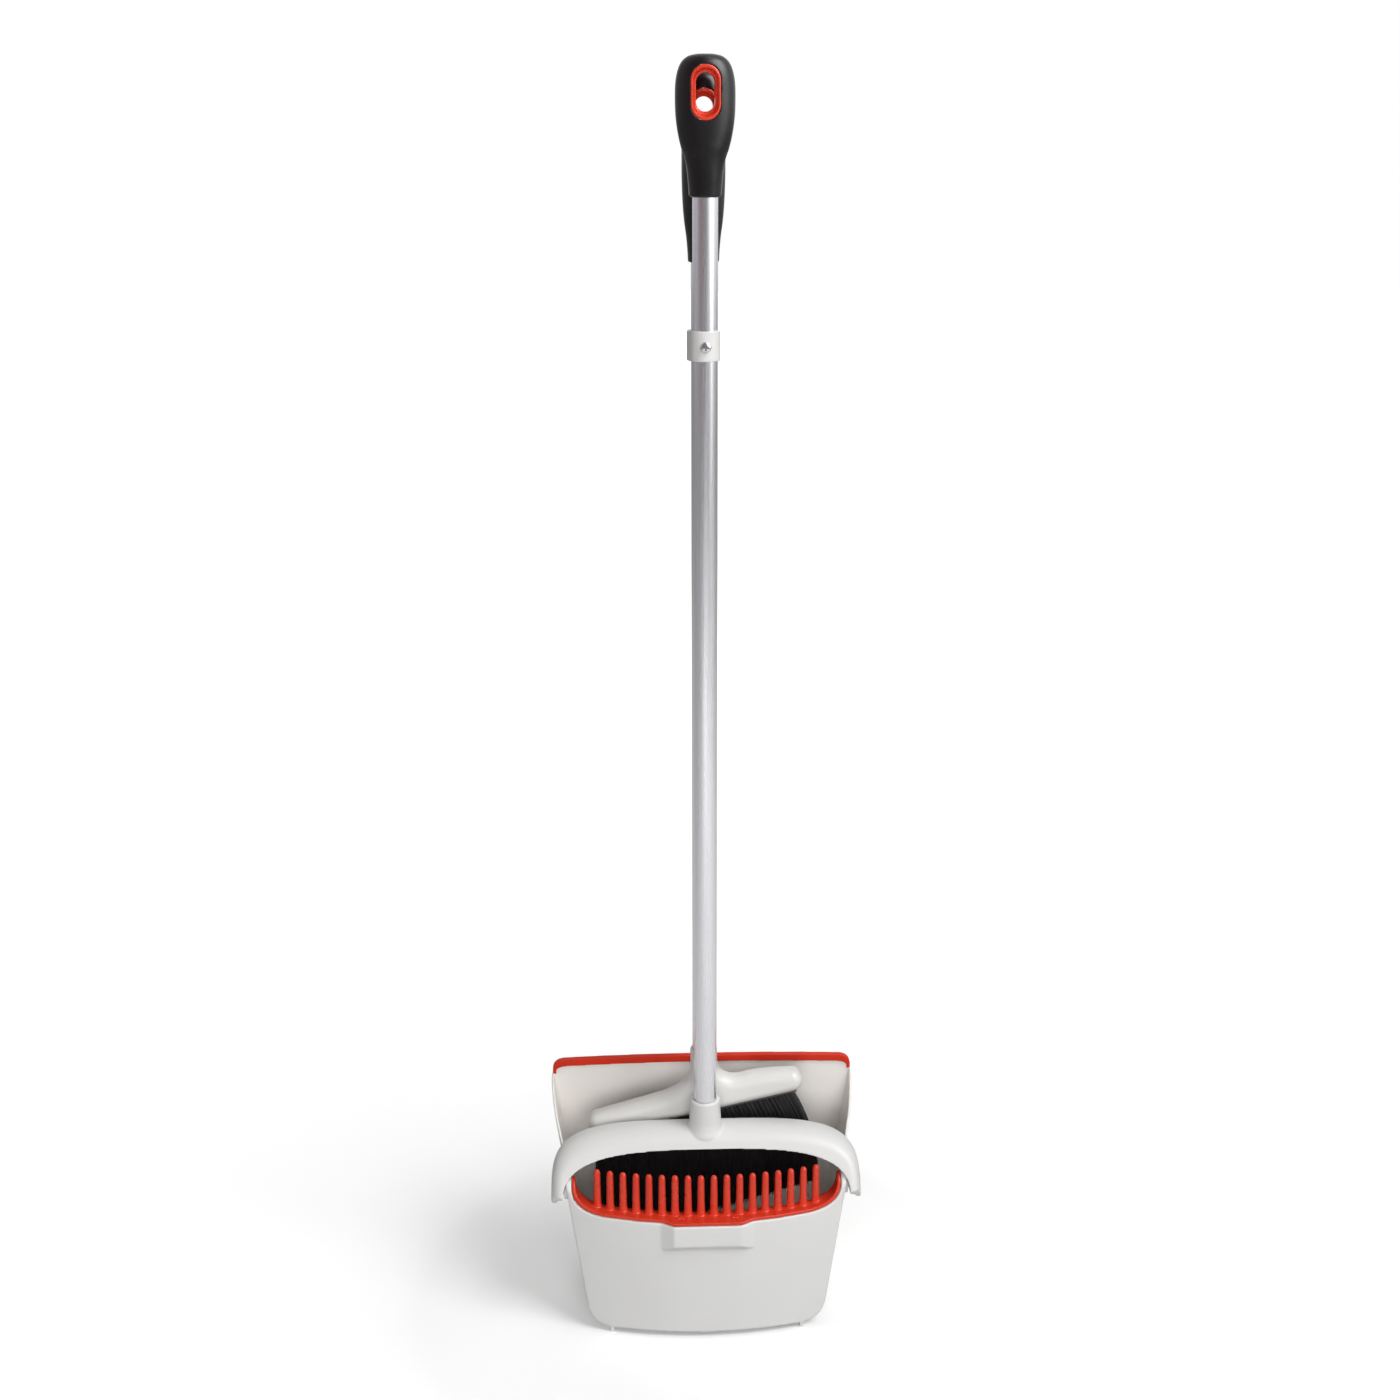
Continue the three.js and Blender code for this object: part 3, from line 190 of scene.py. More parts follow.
def add_object(name, points, faces):
    """A closed mesh from points in millimetres about the pan tube's axis, with its faces outwards."""
    mesh = bpy.data.meshes.new(name)
    mesh.from_pydata([(x * MM, (y + TUBE_Y) * MM, z * MM) for x, y, z in points], [], faces)
    obj = bpy.data.objects.new(name, mesh)
    bpy.context.collection.objects.link(obj)
    body = bmesh.new()
    body.from_mesh(mesh)
    bmesh.ops.recalc_face_normals(body, faces=body.faces)
    body.to_mesh(mesh)
    body.free()
    return obj


def loft(name, rings):
    """A skin over rings of equally many points, closed by a face at each end."""
    count = len(rings[0])
    faces = []
    for row in range(len(rings) - 1):
        below = row * count
        above = below + count
        for i in range(count):
            j = (i + 1) % count
            faces.append((below + i, below + j, above + j, above + i))
    last = (len(rings) - 1) * count
    faces.append(tuple(reversed(range(count))))
    faces.append(tuple(range(last, last + count)))
    return add_object(name, [point for ring in rings for point in ring], faces)


def prism(outline, axis, low, high, name="cutter"):
    """An outline carried along x, y or z: [y, z], [x, z] or [x, y] points."""
    place = {
        "x": lambda a, b, at: (at, a, b),
        "y": lambda a, b, at: (a, at, b),
        "z": lambda a, b, at: (a, b, at),
    }[axis]
    return loft(name, [[place(a, b, at) for a, b in outline] for at in (low, high)])


def circle(radius, z, centre=(0.0, 0.0), sides=96, depth=None):
    """Points of a level circle, or of an ellipse where its half depth is given too."""
    depth = radius if depth is None else depth
    points = []
    for i in range(sides):
        angle = 2 * math.pi * i / sides
        points.append((centre[0] + radius * math.cos(angle), centre[1] + depth * math.sin(angle), z))
    return points


def turned(profile, name="cutter", centre=(0.0, 0.0), sides=96):
    """A turned form about a vertical axis, from (radius, height) pairs upwards."""
    return loft(name, [circle(radius, z, centre, sides) for radius, z in profile])


def disc(across, up, radius, count=48):
    """Points of a circle in an outline's plane."""
    step = 2 * math.pi / count
    return [(across + radius * math.cos(i * step), up + radius * math.sin(i * step))
            for i in range(count)]


def rectangle(left, bottom, right, top):
    """Corners of a rectangle in an outline's plane."""
    return [(left, bottom), (right, bottom), (right, top), (left, top)]


def offset_outline(outline, inset):
    """A closed outline moved inwards along its corner normals."""
    count = len(outline)
    area = 0
    for i in range(count):
        (a, b), (c, d) = outline[i], outline[(i + 1) % count]
        area += a * d - c * b
    turn = 1 if area > 0 else -1
    moved = []
    for i in range(count):
        before = Vector(outline[i]) - Vector(outline[i - 1])
        after = Vector(outline[(i + 1) % count]) - Vector(outline[i])
        normals = [Vector((-edge.y, edge.x)).normalized() * turn for edge in (before, after)]
        across = normals[0] + normals[1]
        scale = 2 / max(across.length_squared, 1.0)
        moved.append(tuple(Vector(outline[i]) + across * scale * inset))
    return moved


def pillow(outline, y, core, depth, size, name="cutter", steps=10):
    """A front view outline given a thickness, with both edges rounded to an ellipse."""
    rings = []
    for i in range(2 * steps + 2):
        side = -1 if i <= steps else 1
        angle = math.pi / 2 * (1 - i / steps if side < 0 else (i - steps - 1) / steps)
        inset = size * (1 - math.cos(angle))
        level = y + side * (core + depth * math.sin(angle))
        rings.append([(a, level, b) for a, b in offset_outline(outline, inset)])
    return loft(name, rings)


def evaluated(obj):
    """Bakes the object's modifiers into its mesh."""
    graph = bpy.context.evaluated_depsgraph_get()
    mesh = bpy.data.meshes.new_from_object(obj.evaluated_get(graph))
    obj.modifiers.clear()
    obj.data = mesh


def combine(obj, tool, operation):
    """Cuts, joins or intersects obj with a tool, which is used up."""
    step = obj.modifiers.new("combine", "BOOLEAN")
    step.operation = operation
    step.solver = "EXACT"
    step.object = tool
    evaluated(obj)
    bpy.data.objects.remove(tool)


def cut(obj, *tools):
    """Takes closed tools away from obj, one after another."""
    for tool in tools:
        combine(obj, tool, "DIFFERENCE")


def keep(obj, tool):
    """Leaves only what of obj lies inside a tool."""
    combine(obj, tool, "INTERSECT")


def join(obj, *others):
    """Puts other closed meshes into obj; softening then fuses them."""
    body = bmesh.new()
    for piece in (obj, *others):
        body.from_mesh(piece.data)
    body.to_mesh(obj.data)
    body.free()
    for piece in others:
        bpy.data.objects.remove(piece)


def soften(obj, voxel, rounds):
    """Remakes the skin as an even mesh and blends its edges."""
    skin = obj.modifiers.new("skin", "REMESH")
    skin.mode = "VOXEL"
    skin.voxel_size = voxel * MM
    blend = obj.modifiers.new("blend", "SMOOTH")
    blend.factor = 0.5
    blend.iterations = rounds
    evaluated(obj)
    obj.data.polygons.foreach_set("use_smooth", [True] * len(obj.data.polygons))


def copy_of(node, name):
    """A welded copy of a CAD node's mesh as a new object."""
    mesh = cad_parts[node].data.copy()
    mesh.materials.clear()
    obj = bpy.data.objects.new(name, mesh)
    bpy.context.collection.objects.link(obj)
    body = bmesh.new()
    body.from_mesh(mesh)
    bmesh.ops.remove_doubles(body, verts=body.verts, dist=2e-6)
    body.to_mesh(mesh)
    body.free()
    return obj


def smooth_by_angle(obj, degrees=35):
    """Shades obj smoothly, except over edges sharper than this."""
    obj.data.polygons.foreach_set("use_smooth", [True] * len(obj.data.polygons))
    obj.data.set_sharp_from_angle(angle=math.radians(degrees))


def dress(obj, body, material, slot, *nodes):
    """Gives a piece its material and its body, and hides the nodes it stands for. The slot is not used."""
    obj.data.materials.clear()
    obj.data.materials.append(material)
    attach(obj, body)
    if nodes:
        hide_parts(*nodes)


def arc(centre, radius, start, end, count=16):
    """Points of an arc in an outline's plane, between two angles."""
    points = []
    for i in range(count + 1):
        angle = start + (end - start) * i / count
        points.append((centre[0] + radius * math.cos(angle), centre[1] + radius * math.sin(angle)))
    return points


def bezier(*controls, count=16):
    """Points of a quadratic or cubic curve."""
    degree = len(controls) - 1
    points = []
    for i in range(count + 1):
        t = i / count
        weights = [math.comb(degree, k) * t ** k * (1 - t) ** (degree - k) for k in range(degree + 1)]
        points.append(tuple(sum(w * c[axis] for w, c in zip(weights, controls)) for axis in (0, 1)))
    return points


def without_repeats(outline):
    """A closed outline without points that lie on each other."""
    kept = []
    for point in outline:
        if not kept or math.dist(point, kept[-1]) > 0.02:
            kept.append(point)
    if math.dist(kept[0], kept[-1]) < 0.02:
        kept.pop()
    return kept


# ---------------------------------------------------------------- materials


class Surface:
    """A principled material with helpers for its procedural detail."""

    def __init__(self, name, roughness, metallic=0.0):
        self.material = bpy.data.materials.new(name)
        self.material.use_nodes = True
        self.tree = self.material.node_tree
        self.shader = self.tree.nodes["Principled BSDF"]
        self.shader.inputs["Roughness"].default_value = roughness
        self.shader.inputs["Metallic"].default_value = metallic
        self.place = self.node("ShaderNodeTexCoord").outputs["Object"]
        self.relief = None

    def node(self, kind, **settings):
        node = self.tree.nodes.new(kind)
        for key, value in settings.items():
            setattr(node, key, value)
        return node

    def link(self, output, target):
        self.tree.links.new(output, target)

    def stretched(self, scale):
        """Object coordinates scaled along each axis."""
        mapping = self.node("ShaderNodeMapping")
        mapping.inputs["Scale"].default_value = scale
        self.link(self.place, mapping.inputs["Vector"])
        return mapping.outputs["Vector"]

    def noise(self, scale, detail=4.0, stretch=None, rough=0.5):
        texture = self.node("ShaderNodeTexNoise")
        texture.inputs["Scale"].default_value = scale
        texture.inputs["Detail"].default_value = detail
        texture.inputs["Roughness"].default_value = rough
        self.link(self.stretched(stretch) if stretch else self.place, texture.inputs["Vector"])
        return texture.outputs["Fac"]

    def ranged(self, value, low, high, start=0.3, end=0.7):
        """Maps a 0 to 1 pattern to low..high."""
        node = self.node("ShaderNodeMapRange")
        node.inputs["From Min"].default_value = start
        node.inputs["From Max"].default_value = end
        node.inputs["To Min"].default_value = low
        node.inputs["To Max"].default_value = high
        self.link(value, node.inputs["Value"])
        return node.outputs["Result"]

    def blend(self, factor, first, second):
        """Mixes two colours, each a tuple or another node's output."""
        node = self.node("ShaderNodeMix", data_type="RGBA")
        self.link(factor, node.inputs["Factor"])
        for value, socket in ((first, node.inputs[6]), (second, node.inputs[7])):
            if isinstance(value, tuple):
                socket.default_value = (*value, 1)
            else:
                self.link(value, socket)
        return node.outputs[2]

    def colour(self, output):
        self.link(output, self.shader.inputs["Base Color"])

    def rough(self, output):
        self.link(output, self.shader.inputs["Roughness"])

    def bump(self, height, distance, strength=1.0):
        """Adds relief of the given depth in millimetres, over what is already there."""
        node = self.node("ShaderNodeBump")
        node.inputs["Strength"].default_value = strength
        node.inputs["Distance"].default_value = distance * MM
        self.link(height, node.inputs["Height"])
        if self.relief:
            self.link(self.relief, node.inputs["Normal"])
        self.relief = node.outputs["Normal"]
        self.link(self.relief, self.shader.inputs["Normal"])

    def edges(self, low=0.52, high=0.62):
        """0 on flats and 1 along worn, convex edges."""
        geometry = self.node("ShaderNodeNewGeometry")
        return self.ranged(geometry.outputs["Pointiness"], 0.0, 1.0, low, high)


def moulded(name, base, shade, edge, gloss, grain=0.012, specular=0.5, painted_inner_light=None):
    """Moulded plastic: faint flow clouding, a fine spark-eroded grain and lighter rubbed edges.

    With a back colour given, the colour turns to it from the front of the piece towards its back: painted
    light, a lighter and warmer inside standing in for the light and its warm bounce within the bin.
    """
    skin = Surface(name, gloss)
    skin.shader.inputs["Specular IOR Level"].default_value = specular
    clouding = skin.ranged(skin.noise(14, detail=3), 0, 1)
    tone = skin.blend(clouding, base, shade)
    # painted light: towards the back the tone turns lighter and warmer, standing in for light falling
    # inside the bin
    if painted_inner_light:
        split = skin.node("ShaderNodeSeparateXYZ")
        skin.link(skin.place, split.inputs[0])
        tone = skin.blend(skin.ranged(split.outputs["Y"], 0, 1, *PAINTED_LIGHT_RANGE), tone, painted_inner_light)
    skin.colour(skin.blend(skin.edges(), tone, edge))
    skin.rough(skin.ranged(skin.noise(55, detail=5), gloss - 0.03, gloss + 0.04))
    skin.bump(skin.noise(2600, detail=2), grain)
    skin.bump(skin.noise(90, detail=3), grain * 0.6)
    return skin.material


def soft_rubber(name, base, shade, edge, gloss, specular):
    """Soft-touch rubber: matte, with a pebbled skin, a dusty bloom and slightly polished places."""
    skin = Surface(name, gloss)
    skin.shader.inputs["Specular IOR Level"].default_value = specular
    skin.shader.inputs["Sheen Weight"].default_value = 0.01
    skin.shader.inputs["Sheen Roughness"].default_value = 0.45
    bloom = skin.ranged(skin.noise(30, detail=5), 0, 1)
    skin.colour(skin.blend(skin.edges(), skin.blend(bloom, base, shade), edge))
    skin.rough(skin.ranged(skin.noise(22, detail=4), gloss - 0.08, gloss + 0.07))
    pebble = skin.node("ShaderNodeTexVoronoi")
    pebble.inputs["Scale"].default_value = 1500
    skin.link(skin.place, pebble.inputs["Vector"])
    skin.bump(pebble.outputs["Distance"], 0.01, strength=0.4)
    skin.bump(skin.noise(120, detail=3), 0.008)
    return skin.material


def drawn_metal(name, base, shade, gloss, streak):
    """Metal with fine lines along one direction, given by the streak's scale on each axis."""
    skin = Surface(name, gloss, metallic=1.0)
    lines = skin.noise(1.0, detail=5, stretch=streak, rough=0.65)
    skin.colour(skin.blend(skin.ranged(lines, 0, 1), base, shade))
    skin.rough(skin.ranged(lines, gloss - 0.05, gloss + 0.07))
    skin.bump(lines, 0.002)
    skin.bump(skin.noise(160, detail=3), 0.003)
    return skin.material


def filament(name, base, shade):
    """Synthetic filament: strands differ in tone along the row and shine a little."""
    skin = Surface(name, roughness=0.42)
    skin.shader.inputs["Specular IOR Level"].default_value = 0.25
    strands = skin.noise(1.0, detail=4, stretch=(900, 900, 25), rough=0.6)
    skin.colour(skin.blend(skin.ranged(strands, 0, 1), base, shade))
    polish = skin.noise(1.0, detail=3, stretch=(500, 500, 60))
    skin.rough(skin.ranged(polish, 0.34, 0.56))
    skin.bump(strands, 0.05)
    return skin.material


# painted light: over this range the pan's white turns to a lighter, warmer tone inside the bin
PAINTED_LIGHT_RANGE = (-0.045, 0.02)             # metres front to back, between the pan's hood and its middle

# painted shade: this white is a little darker than the pan's, making up for the yoke and sockets facing the
# key light
white = moulded(
    "white_moulding_painted_shade", base=(0.75, 0.745, 0.73), shade=(0.72, 0.715, 0.70), edge=(0.79, 0.785, 0.77),
    gloss=0.40)
# its back colour is painted light: the inside of the bin lighter and warmer than its front
pan_white = moulded(
    "pan_moulding_white", base=(0.79, 0.787, 0.778), shade=(0.765, 0.762, 0.752),
    edge=(0.83, 0.825, 0.815), gloss=0.40, painted_inner_light=(0.88, 0.85, 0.805))
cream = moulded(
    "broom_moulding", base=(0.74, 0.728, 0.705), shade=(0.725, 0.712, 0.688), edge=(0.78, 0.77, 0.75),
    gloss=0.30, grain=0.004)
red = moulded(
    "red_moulding", base=(0.70, 0.046, 0.018), shade=(0.66, 0.040, 0.015), edge=(0.72, 0.052, 0.02),
    gloss=0.28, grain=0.0015, specular=0.45)
red_lip = soft_rubber(
    "red_lip_rubber", base=(0.66, 0.034, 0.012), shade=(0.60, 0.028, 0.010), edge=(0.72, 0.06, 0.03),
    gloss=0.52, specular=0.25)
black = soft_rubber(
    "black_grip_rubber", base=(0.005, 0.004, 0.005), shade=(0.008, 0.007, 0.008),
    edge=(0.012, 0.011, 0.012), gloss=0.30, specular=0.42)
dark_plug = moulded(
    "dark_plug", base=(0.03, 0.03, 0.032), shade=(0.04, 0.04, 0.042), edge=(0.06, 0.06, 0.06),
    gloss=0.5)
satin = drawn_metal(
    "satin_aluminium", base=(0.80, 0.80, 0.83), shade=(0.75, 0.745, 0.775), gloss=0.25,
    streak=(700, 700, 6))
bright = drawn_metal(
    "plated_steel", base=(0.72, 0.72, 0.73), shade=(0.62, 0.62, 0.63), gloss=0.18,
    streak=(900, 300, 900))
strand = filament("black_filament", base=(0.004, 0.004, 0.005), shade=(0.014, 0.013, 0.014))

# ---------------------------------------------------------------- dust pan


def bulge(x):
    """Row y of the hood's outer face, about the pan tube's axis."""
    return PAN_FRONT_Y + x * x / (2 * PAN_FRONT_RADIUS)


def make_pan():
    """The bin, with its hood rounded over the CAD's flats and with crisp foot ribs."""
    pan = copy_of("pan_shell", "pan_moulding")
    soften(pan, voxel=0.95, rounds=5)
    half = PAN_SIDE[0] + PAN_SIDE[1] * PAN_MOUTH_Z + PAN_FLARE + 1
    step = 2 * half / BULGE_FACETS
    for vertex in pan.data.vertices:
        x = vertex.co.x / MM
        y = vertex.co.y / MM - TUBE_Y
        if abs(x) < half and bulge(x) - BULGE_REACH[0] < y < bulge(x) + BULGE_REACH[1]:
            start = -half + step * math.floor((x + half) / step)
            t = (x - start) / step
            flat = bulge(start) * (1 - t) + bulge(start + step) * t
            vertex.co.y += (bulge(x) - flat) * MM
    foot_x, thickness, height = FOOT
    for x in (-foot_x, foot_x):
        foot = prism(rectangle(x - thickness / 2, 0, x + thickness / 2, height), "y",
                     bulge(foot_x) + FOOT_LENGTH[0], PAN_BACK_Y - FOOT_LENGTH[1])
        combine(pan, foot, "UNION")
    smooth_by_angle(pan, 50)
    dress(pan, "pan", pan_white, "white_plastic", "pan_shell")


def make_lip():
    """The rubber edge along the bin's panel."""
    lip = copy_of("pan_lip", "lip_rubber")
    soften(lip, voxel=0.6, rounds=4)
    dress(lip, "pan", red_lip, "red_rubber", "pan_lip")


def make_comb():
    """The comb, with its teeth and their roots blended."""
    comb = copy_of("comb", "comb_moulding")
    soften(comb, voxel=0.42, rounds=9)
    dress(comb, "pan", red, "red_plastic", "comb")


def make_stakes():
    """Heat-staked studs: each melted head has low lobes round a dimple."""
    mean, lobe, lobes = STUD
    outline = []
    for i in range(STUD_SIDES):
        angle = 2 * math.pi * i / STUD_SIDES
        radius = mean + lobe * math.cos(lobes * (angle - math.pi / 2))
        outline.append((radius * math.cos(angle), radius * math.sin(angle)))
    for side in ("left", "right"):
        node = "comb_stake_" + side
        low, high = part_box(node)
        x = (low[0] + high[0]) / 2 / MM
        y = (low[1] + high[1]) / 2 / MM - TUBE_Y
        floor = low[2] / MM
        stake = loft("melted_stud_" + side, [
            [(x + a * scale, y + b * scale, floor + rise) for a, b in outline]
            for scale, rise in STUD_RISE])
        smooth_by_angle(stake, 60)
        dress(stake, "pan", red, "red_plastic", node)


# ---------------------------------------------------------------- yoke


def arch(half, top, squareness, bottom, steps=150):
    """A squared-off arch over the crown, closed below at the given height."""
    power = 2 / squareness
    points = [(half, bottom)]
    for i in range(steps + 1):
        angle = math.pi * i / steps
        across = math.cos(angle)
        up = max(math.sin(angle), 0.0)
        points.append((half * math.copysign(abs(across) ** power, across),
                       YOKE_SPRING + (top - YOKE_SPRING) * up ** power))
    points.append((-half, bottom))
    return without_repeats(points)


def make_yoke():
    """The arched bail from pivot to pivot, with the socket that holds the pan's tube."""
    pivot_y, pivot_z = PIVOT
    bottom = pivot_z - YOKE_END_RADIUS - 1
    half_depth = YOKE_DEPTH / 2
    half = YOKE_OUTER[0]
    inner = YOKE_INNER[0]
    yoke = pillow(arch(*YOKE_OUTER, bottom - YOKE_EDGE_ROUND), 0, YOKE_CORE, half_depth - YOKE_CORE,
                  YOKE_EDGE_ROUND, "yoke_moulding")
    cut(yoke, prism(arch(*YOKE_INNER, -1), "y", -FAR, FAR))

    # it leans back from the pivots to the tube
    crown = (YOKE_OUTER[1] + YOKE_INNER[1]) / 2
    lean = -pivot_y / (crown - pivot_z)
    for vertex in yoke.data.vertices:
        vertex.co.y += lean * (vertex.co.z - crown * MM)

    # each arm narrows to a point outside, with a step inside
    tip = half - YOKE_TIP[0]
    root = tip - YOKE_TIP[1]
    point = tip + YOKE_TIP[0] / 2
    tips = [(root, YOKE_ARM_FOOT), (tip, bottom)]
    tips += bezier((point, bottom), (half, bottom), (half, pivot_z))
    tips += [(half, FAR), (-half, FAR)]
    tips += bezier((-half, pivot_z), (-half, bottom), (-point, bottom))
    tips += [(-tip, bottom), (-root, YOKE_ARM_FOOT)]
    keep(yoke, prism(without_repeats(tips), "y", -FAR, FAR))

    # from the side it widens from the round ends to the crown
    back = half_depth + YOKE_CROWN_ROOM
    side_view = [(pivot_y + YOKE_END_RADIUS, pivot_z), (back, crown), (back, FAR), (-FAR, FAR),
                 (-FAR, pivot_z + YOKE_DEPTH)]
    side_view += arc((pivot_y, pivot_z), YOKE_END_RADIUS, math.pi, 2 * math.pi, 24)
    keep(yoke, prism(without_repeats(side_view), "x", -FAR, FAR))
    cut(yoke, prism(disc(pivot_y, pivot_z, EAR_RADIUS, 64), "x", -inner, inner))
    cut(yoke, prism(rectangle(pivot_y, bottom, FAR, pivot_z + EAR_RADIUS), "x", -inner, inner))

    radius, flare, top, floor = SOCKET
    top_face = YOKE_OUTER[1]
    foot = YOKE_INNER[1] + SOCKET_FOOT
    join(yoke, turned([(radius + flare, foot)]
                      + [(radius + flare * share, top_face + rise) for share, rise in SOCKET_FLARE]
                      + [(radius, top - SOCKET_EDGE), (radius - SOCKET_EDGE, top)]))
    soften(yoke, voxel=0.7, rounds=6)
    cut(yoke, turned([(TUBE_BORE, floor), (TUBE_BORE, FAR)]),
        prism(disc(0, SOCKET_SCREW_Z, SCREW_HOLE), "y", 0, FAR))
    smooth_by_angle(yoke, 40)
    dress(yoke, "handle", white, "white_plastic", "yoke")


# ---------------------------------------------------------------- tubes and clip


def make_tube(name, node, body, y):
    """A drawn tube with its bore, and with broken edges at both ends."""
    low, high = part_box(node)
    bottom = low[2] / MM
    top = high[2] / MM
    outer = TUBE_RADIUS
    bore = TUBE_RADIUS - TUBE_WALL
    rise, inset = TUBE_EDGE
    profile = [(bore, bottom + rise), (bore + inset, bottom)]
    profile += [(outer - inset, bottom), (outer, bottom + rise)]
    profile += [(outer, bottom + (top - bottom) * i / TUBE_STEPS) for i in range(1, TUBE_STEPS)]
    profile += [(outer, top - rise), (outer - inset, top), (bore + inset, top), (bore, top - rise)]
    points = []
    for radius, z in profile:
        points += circle(radius, z, (0, y), TUBE_SIDES)
    faces = []
    for row in range(len(profile)):
        below = row * TUBE_SIDES
        above = (row + 1) % len(profile) * TUBE_SIDES
        for i in range(TUBE_SIDES):
            j = (i + 1) % TUBE_SIDES
            faces.append((below + i, below + j, above + j, above + i))
    tube = add_object(name, points, faces)
    smooth_by_angle(tube, 30)
    dress(tube, body, satin, "aluminium_tube", node)


def make_clip():
    """The collar on the pan's tube and the open spring behind it for the broom's."""
    spring_bottom = CLIP_BOTTOM - CLIP_DROP
    spring_top = CLIP_TOP - CLIP_DROP
    collar = turned([(COLLAR_RADIUS, CLIP_BOTTOM), (COLLAR_RADIUS, CLIP_TOP)], "clip_moulding")
    spring = turned([(SPRING_RADIUS, spring_bottom), (SPRING_RADIUS, spring_top)], centre=(0, TUBE_GAP))
    web = rectangle(-WEB_HALF, COLLAR_RADIUS - WEB_LAP, WEB_HALF, TUBE_GAP - SPRING_RADIUS + WEB_LAP)
    combine(collar, spring, "UNION")
    combine(collar, prism(web, "z", spring_bottom, CLIP_TOP), "UNION")
    half, start, spread, end = CLIP_MOUTH
    mouth = [(-half, TUBE_GAP + start), (half, TUBE_GAP + start), (half + spread, TUBE_GAP + end),
             (-half - spread, TUBE_GAP + end)]
    shank, insert, insert_end = CLIP_HOLES
    cut(collar, turned([(TUBE_BORE, 0), (TUBE_BORE, ABOVE)]),
        turned([(TUBE_BORE, 0), (TUBE_BORE, ABOVE)], centre=(0, TUBE_GAP)),
        prism(mouth, "z", 0, ABOVE), prism(disc(0, CLIP_SCREW_Z, shank), "y", -FAR, 0),
        prism(disc(0, CLIP_SCREW_Z, insert), "y", 0, TUBE_BORE + insert_end))
    soften(collar, voxel=0.4, rounds=3)
    dress(collar, "handle", white, "white_plastic", "clip")


def make_clip_screw():
    """Pan head with a cross recess, its shank reaching the insert behind the tube."""
    seat = -(COLLAR_RADIUS + CLEARANCE)
    shank, reach = SCREW_SHANK
    screw = turned([(shank, -TUBE_BORE - reach + seat), (shank, 0), *SCREW_HEAD], "cross_head_screw",
                   sides=64)
    for vertex in screw.data.vertices:
        x, y, z = vertex.co.x, vertex.co.y - TUBE_Y * MM, vertex.co.z
        vertex.co = Vector((x, (TUBE_Y + seat) * MM - z, CLIP_SCREW_Z * MM + y))
    thin, long, floor, front = SCREW_RECESS
    for w, h in ((thin, long), (long, thin)):
        slot = rectangle(-w, CLIP_SCREW_Z - h, w, CLIP_SCREW_Z + h)
        cut(screw, prism(slot, "y", seat - front, seat - floor))
    smooth_by_angle(screw, 32)
    dress(screw, "handle", bright, "steel_screw", "clip_screw")


# ---------------------------------------------------------------- grips


def grip_sections(sections, parts=6):
    """The sections with smooth ones between them; the first pair is the hard edge at the foot."""
    points = [Vector(section) for section in sections]
    filled = [points[0]]
    for i in range(1, len(points) - 1):
        start, end = points[i], points[i + 1]
        before = points[i - 1] if i > 1 else start * 2 - end
        after = points[i + 2] if i + 2 < len(points) else end
        leaving = (end - before) * 0.5
        arriving = (after - start) * 0.5
        for k in range(parts):
            t = k / parts
            filled.append(start * (2 * t ** 3 - 3 * t ** 2 + 1) + leaving * (t ** 3 - 2 * t ** 2 + t)
                          + end * (3 * t ** 2 - 2 * t ** 3) + arriving * (t ** 3 - t ** 2))
    filled.append(points[-1])
    return filled


def grip_body(sections, y, name="cutter"):
    """A grip without its bore and hole."""
    return loft(name, [circle(width, z, (0, y), depth=depth)
                       for z, width, depth in grip_sections(sections)])


def oval(width, height, z, count=28):
    """A slot's outline, upright, with round ends."""
    radius = width / 2
    straight = (height - width) / 2
    return (arc((0, z + straight), radius, 0, math.pi, count)
            + arc((0, z - straight), radius, math.pi, 2 * math.pi, count))


def make_grip(sections, y, bore, hole, names, nodes, body):
    """A rubber grip and the red loop that lines its hanging hole."""
    z, width, height = hole
    outer = 2 * (RING_WALL + RING_ROOM)
    grip = grip_body(sections, y, names[0])
    cut(grip, turned([(TUBE_BORE, 0), (TUBE_BORE, bore)], centre=(0, y)),
        prism(oval(width + outer, height + outer + 2 * RING_EXTRA, z), "y", -FAR, FAR))
    soften(grip, voxel=0.45, rounds=4)
    dress(grip, body, black, "black_rubber", nodes[0])

    half_depth = max(section[2] for section in sections)
    outside = oval(width + 2 * RING_WALL, height + 2 * RING_WALL + 2 * RING_EXTRA, z)
    ring = grip_body(sections, y, names[1])
    keep(ring, prism(outside, "y", -FAR, FAR))
    cut(ring, prism(oval(width, height, z), "y", -FAR, FAR))
    mouth = oval(width + 2 * RING_FLARE, height + 2 * (RING_FLARE + RING_EXTRA / 2), z)
    for face in (y - half_depth, y + half_depth):
        cut(ring, pillow(mouth, face, RING_FACE, half_depth * RING_FLARE_DEPTH, RING_FLARE))
    soften(ring, voxel=0.28, rounds=22)
    dress(ring, body, red, "red_plastic", nodes[1])


# ---------------------------------------------------------------- broom

HEAD_TILT = math.atan2(HEAD_RIGHT[1] - HEAD_LEFT[1], HEAD_RIGHT[0] - HEAD_LEFT[0])
HEAD_SLOPE = math.tan(HEAD_TILT)


def head_axis_z(x):
    """Height of the line between the middles of the arms' round ends."""
    return HEAD_LEFT[1] + (x - HEAD_LEFT[0]) * HEAD_SLOPE


def head_bottom_z(x):
    """Height of the head's straight underside."""
    return head_axis_z(x) - HEAD_LEFT[2] * math.hypot(1, HEAD_SLOPE)


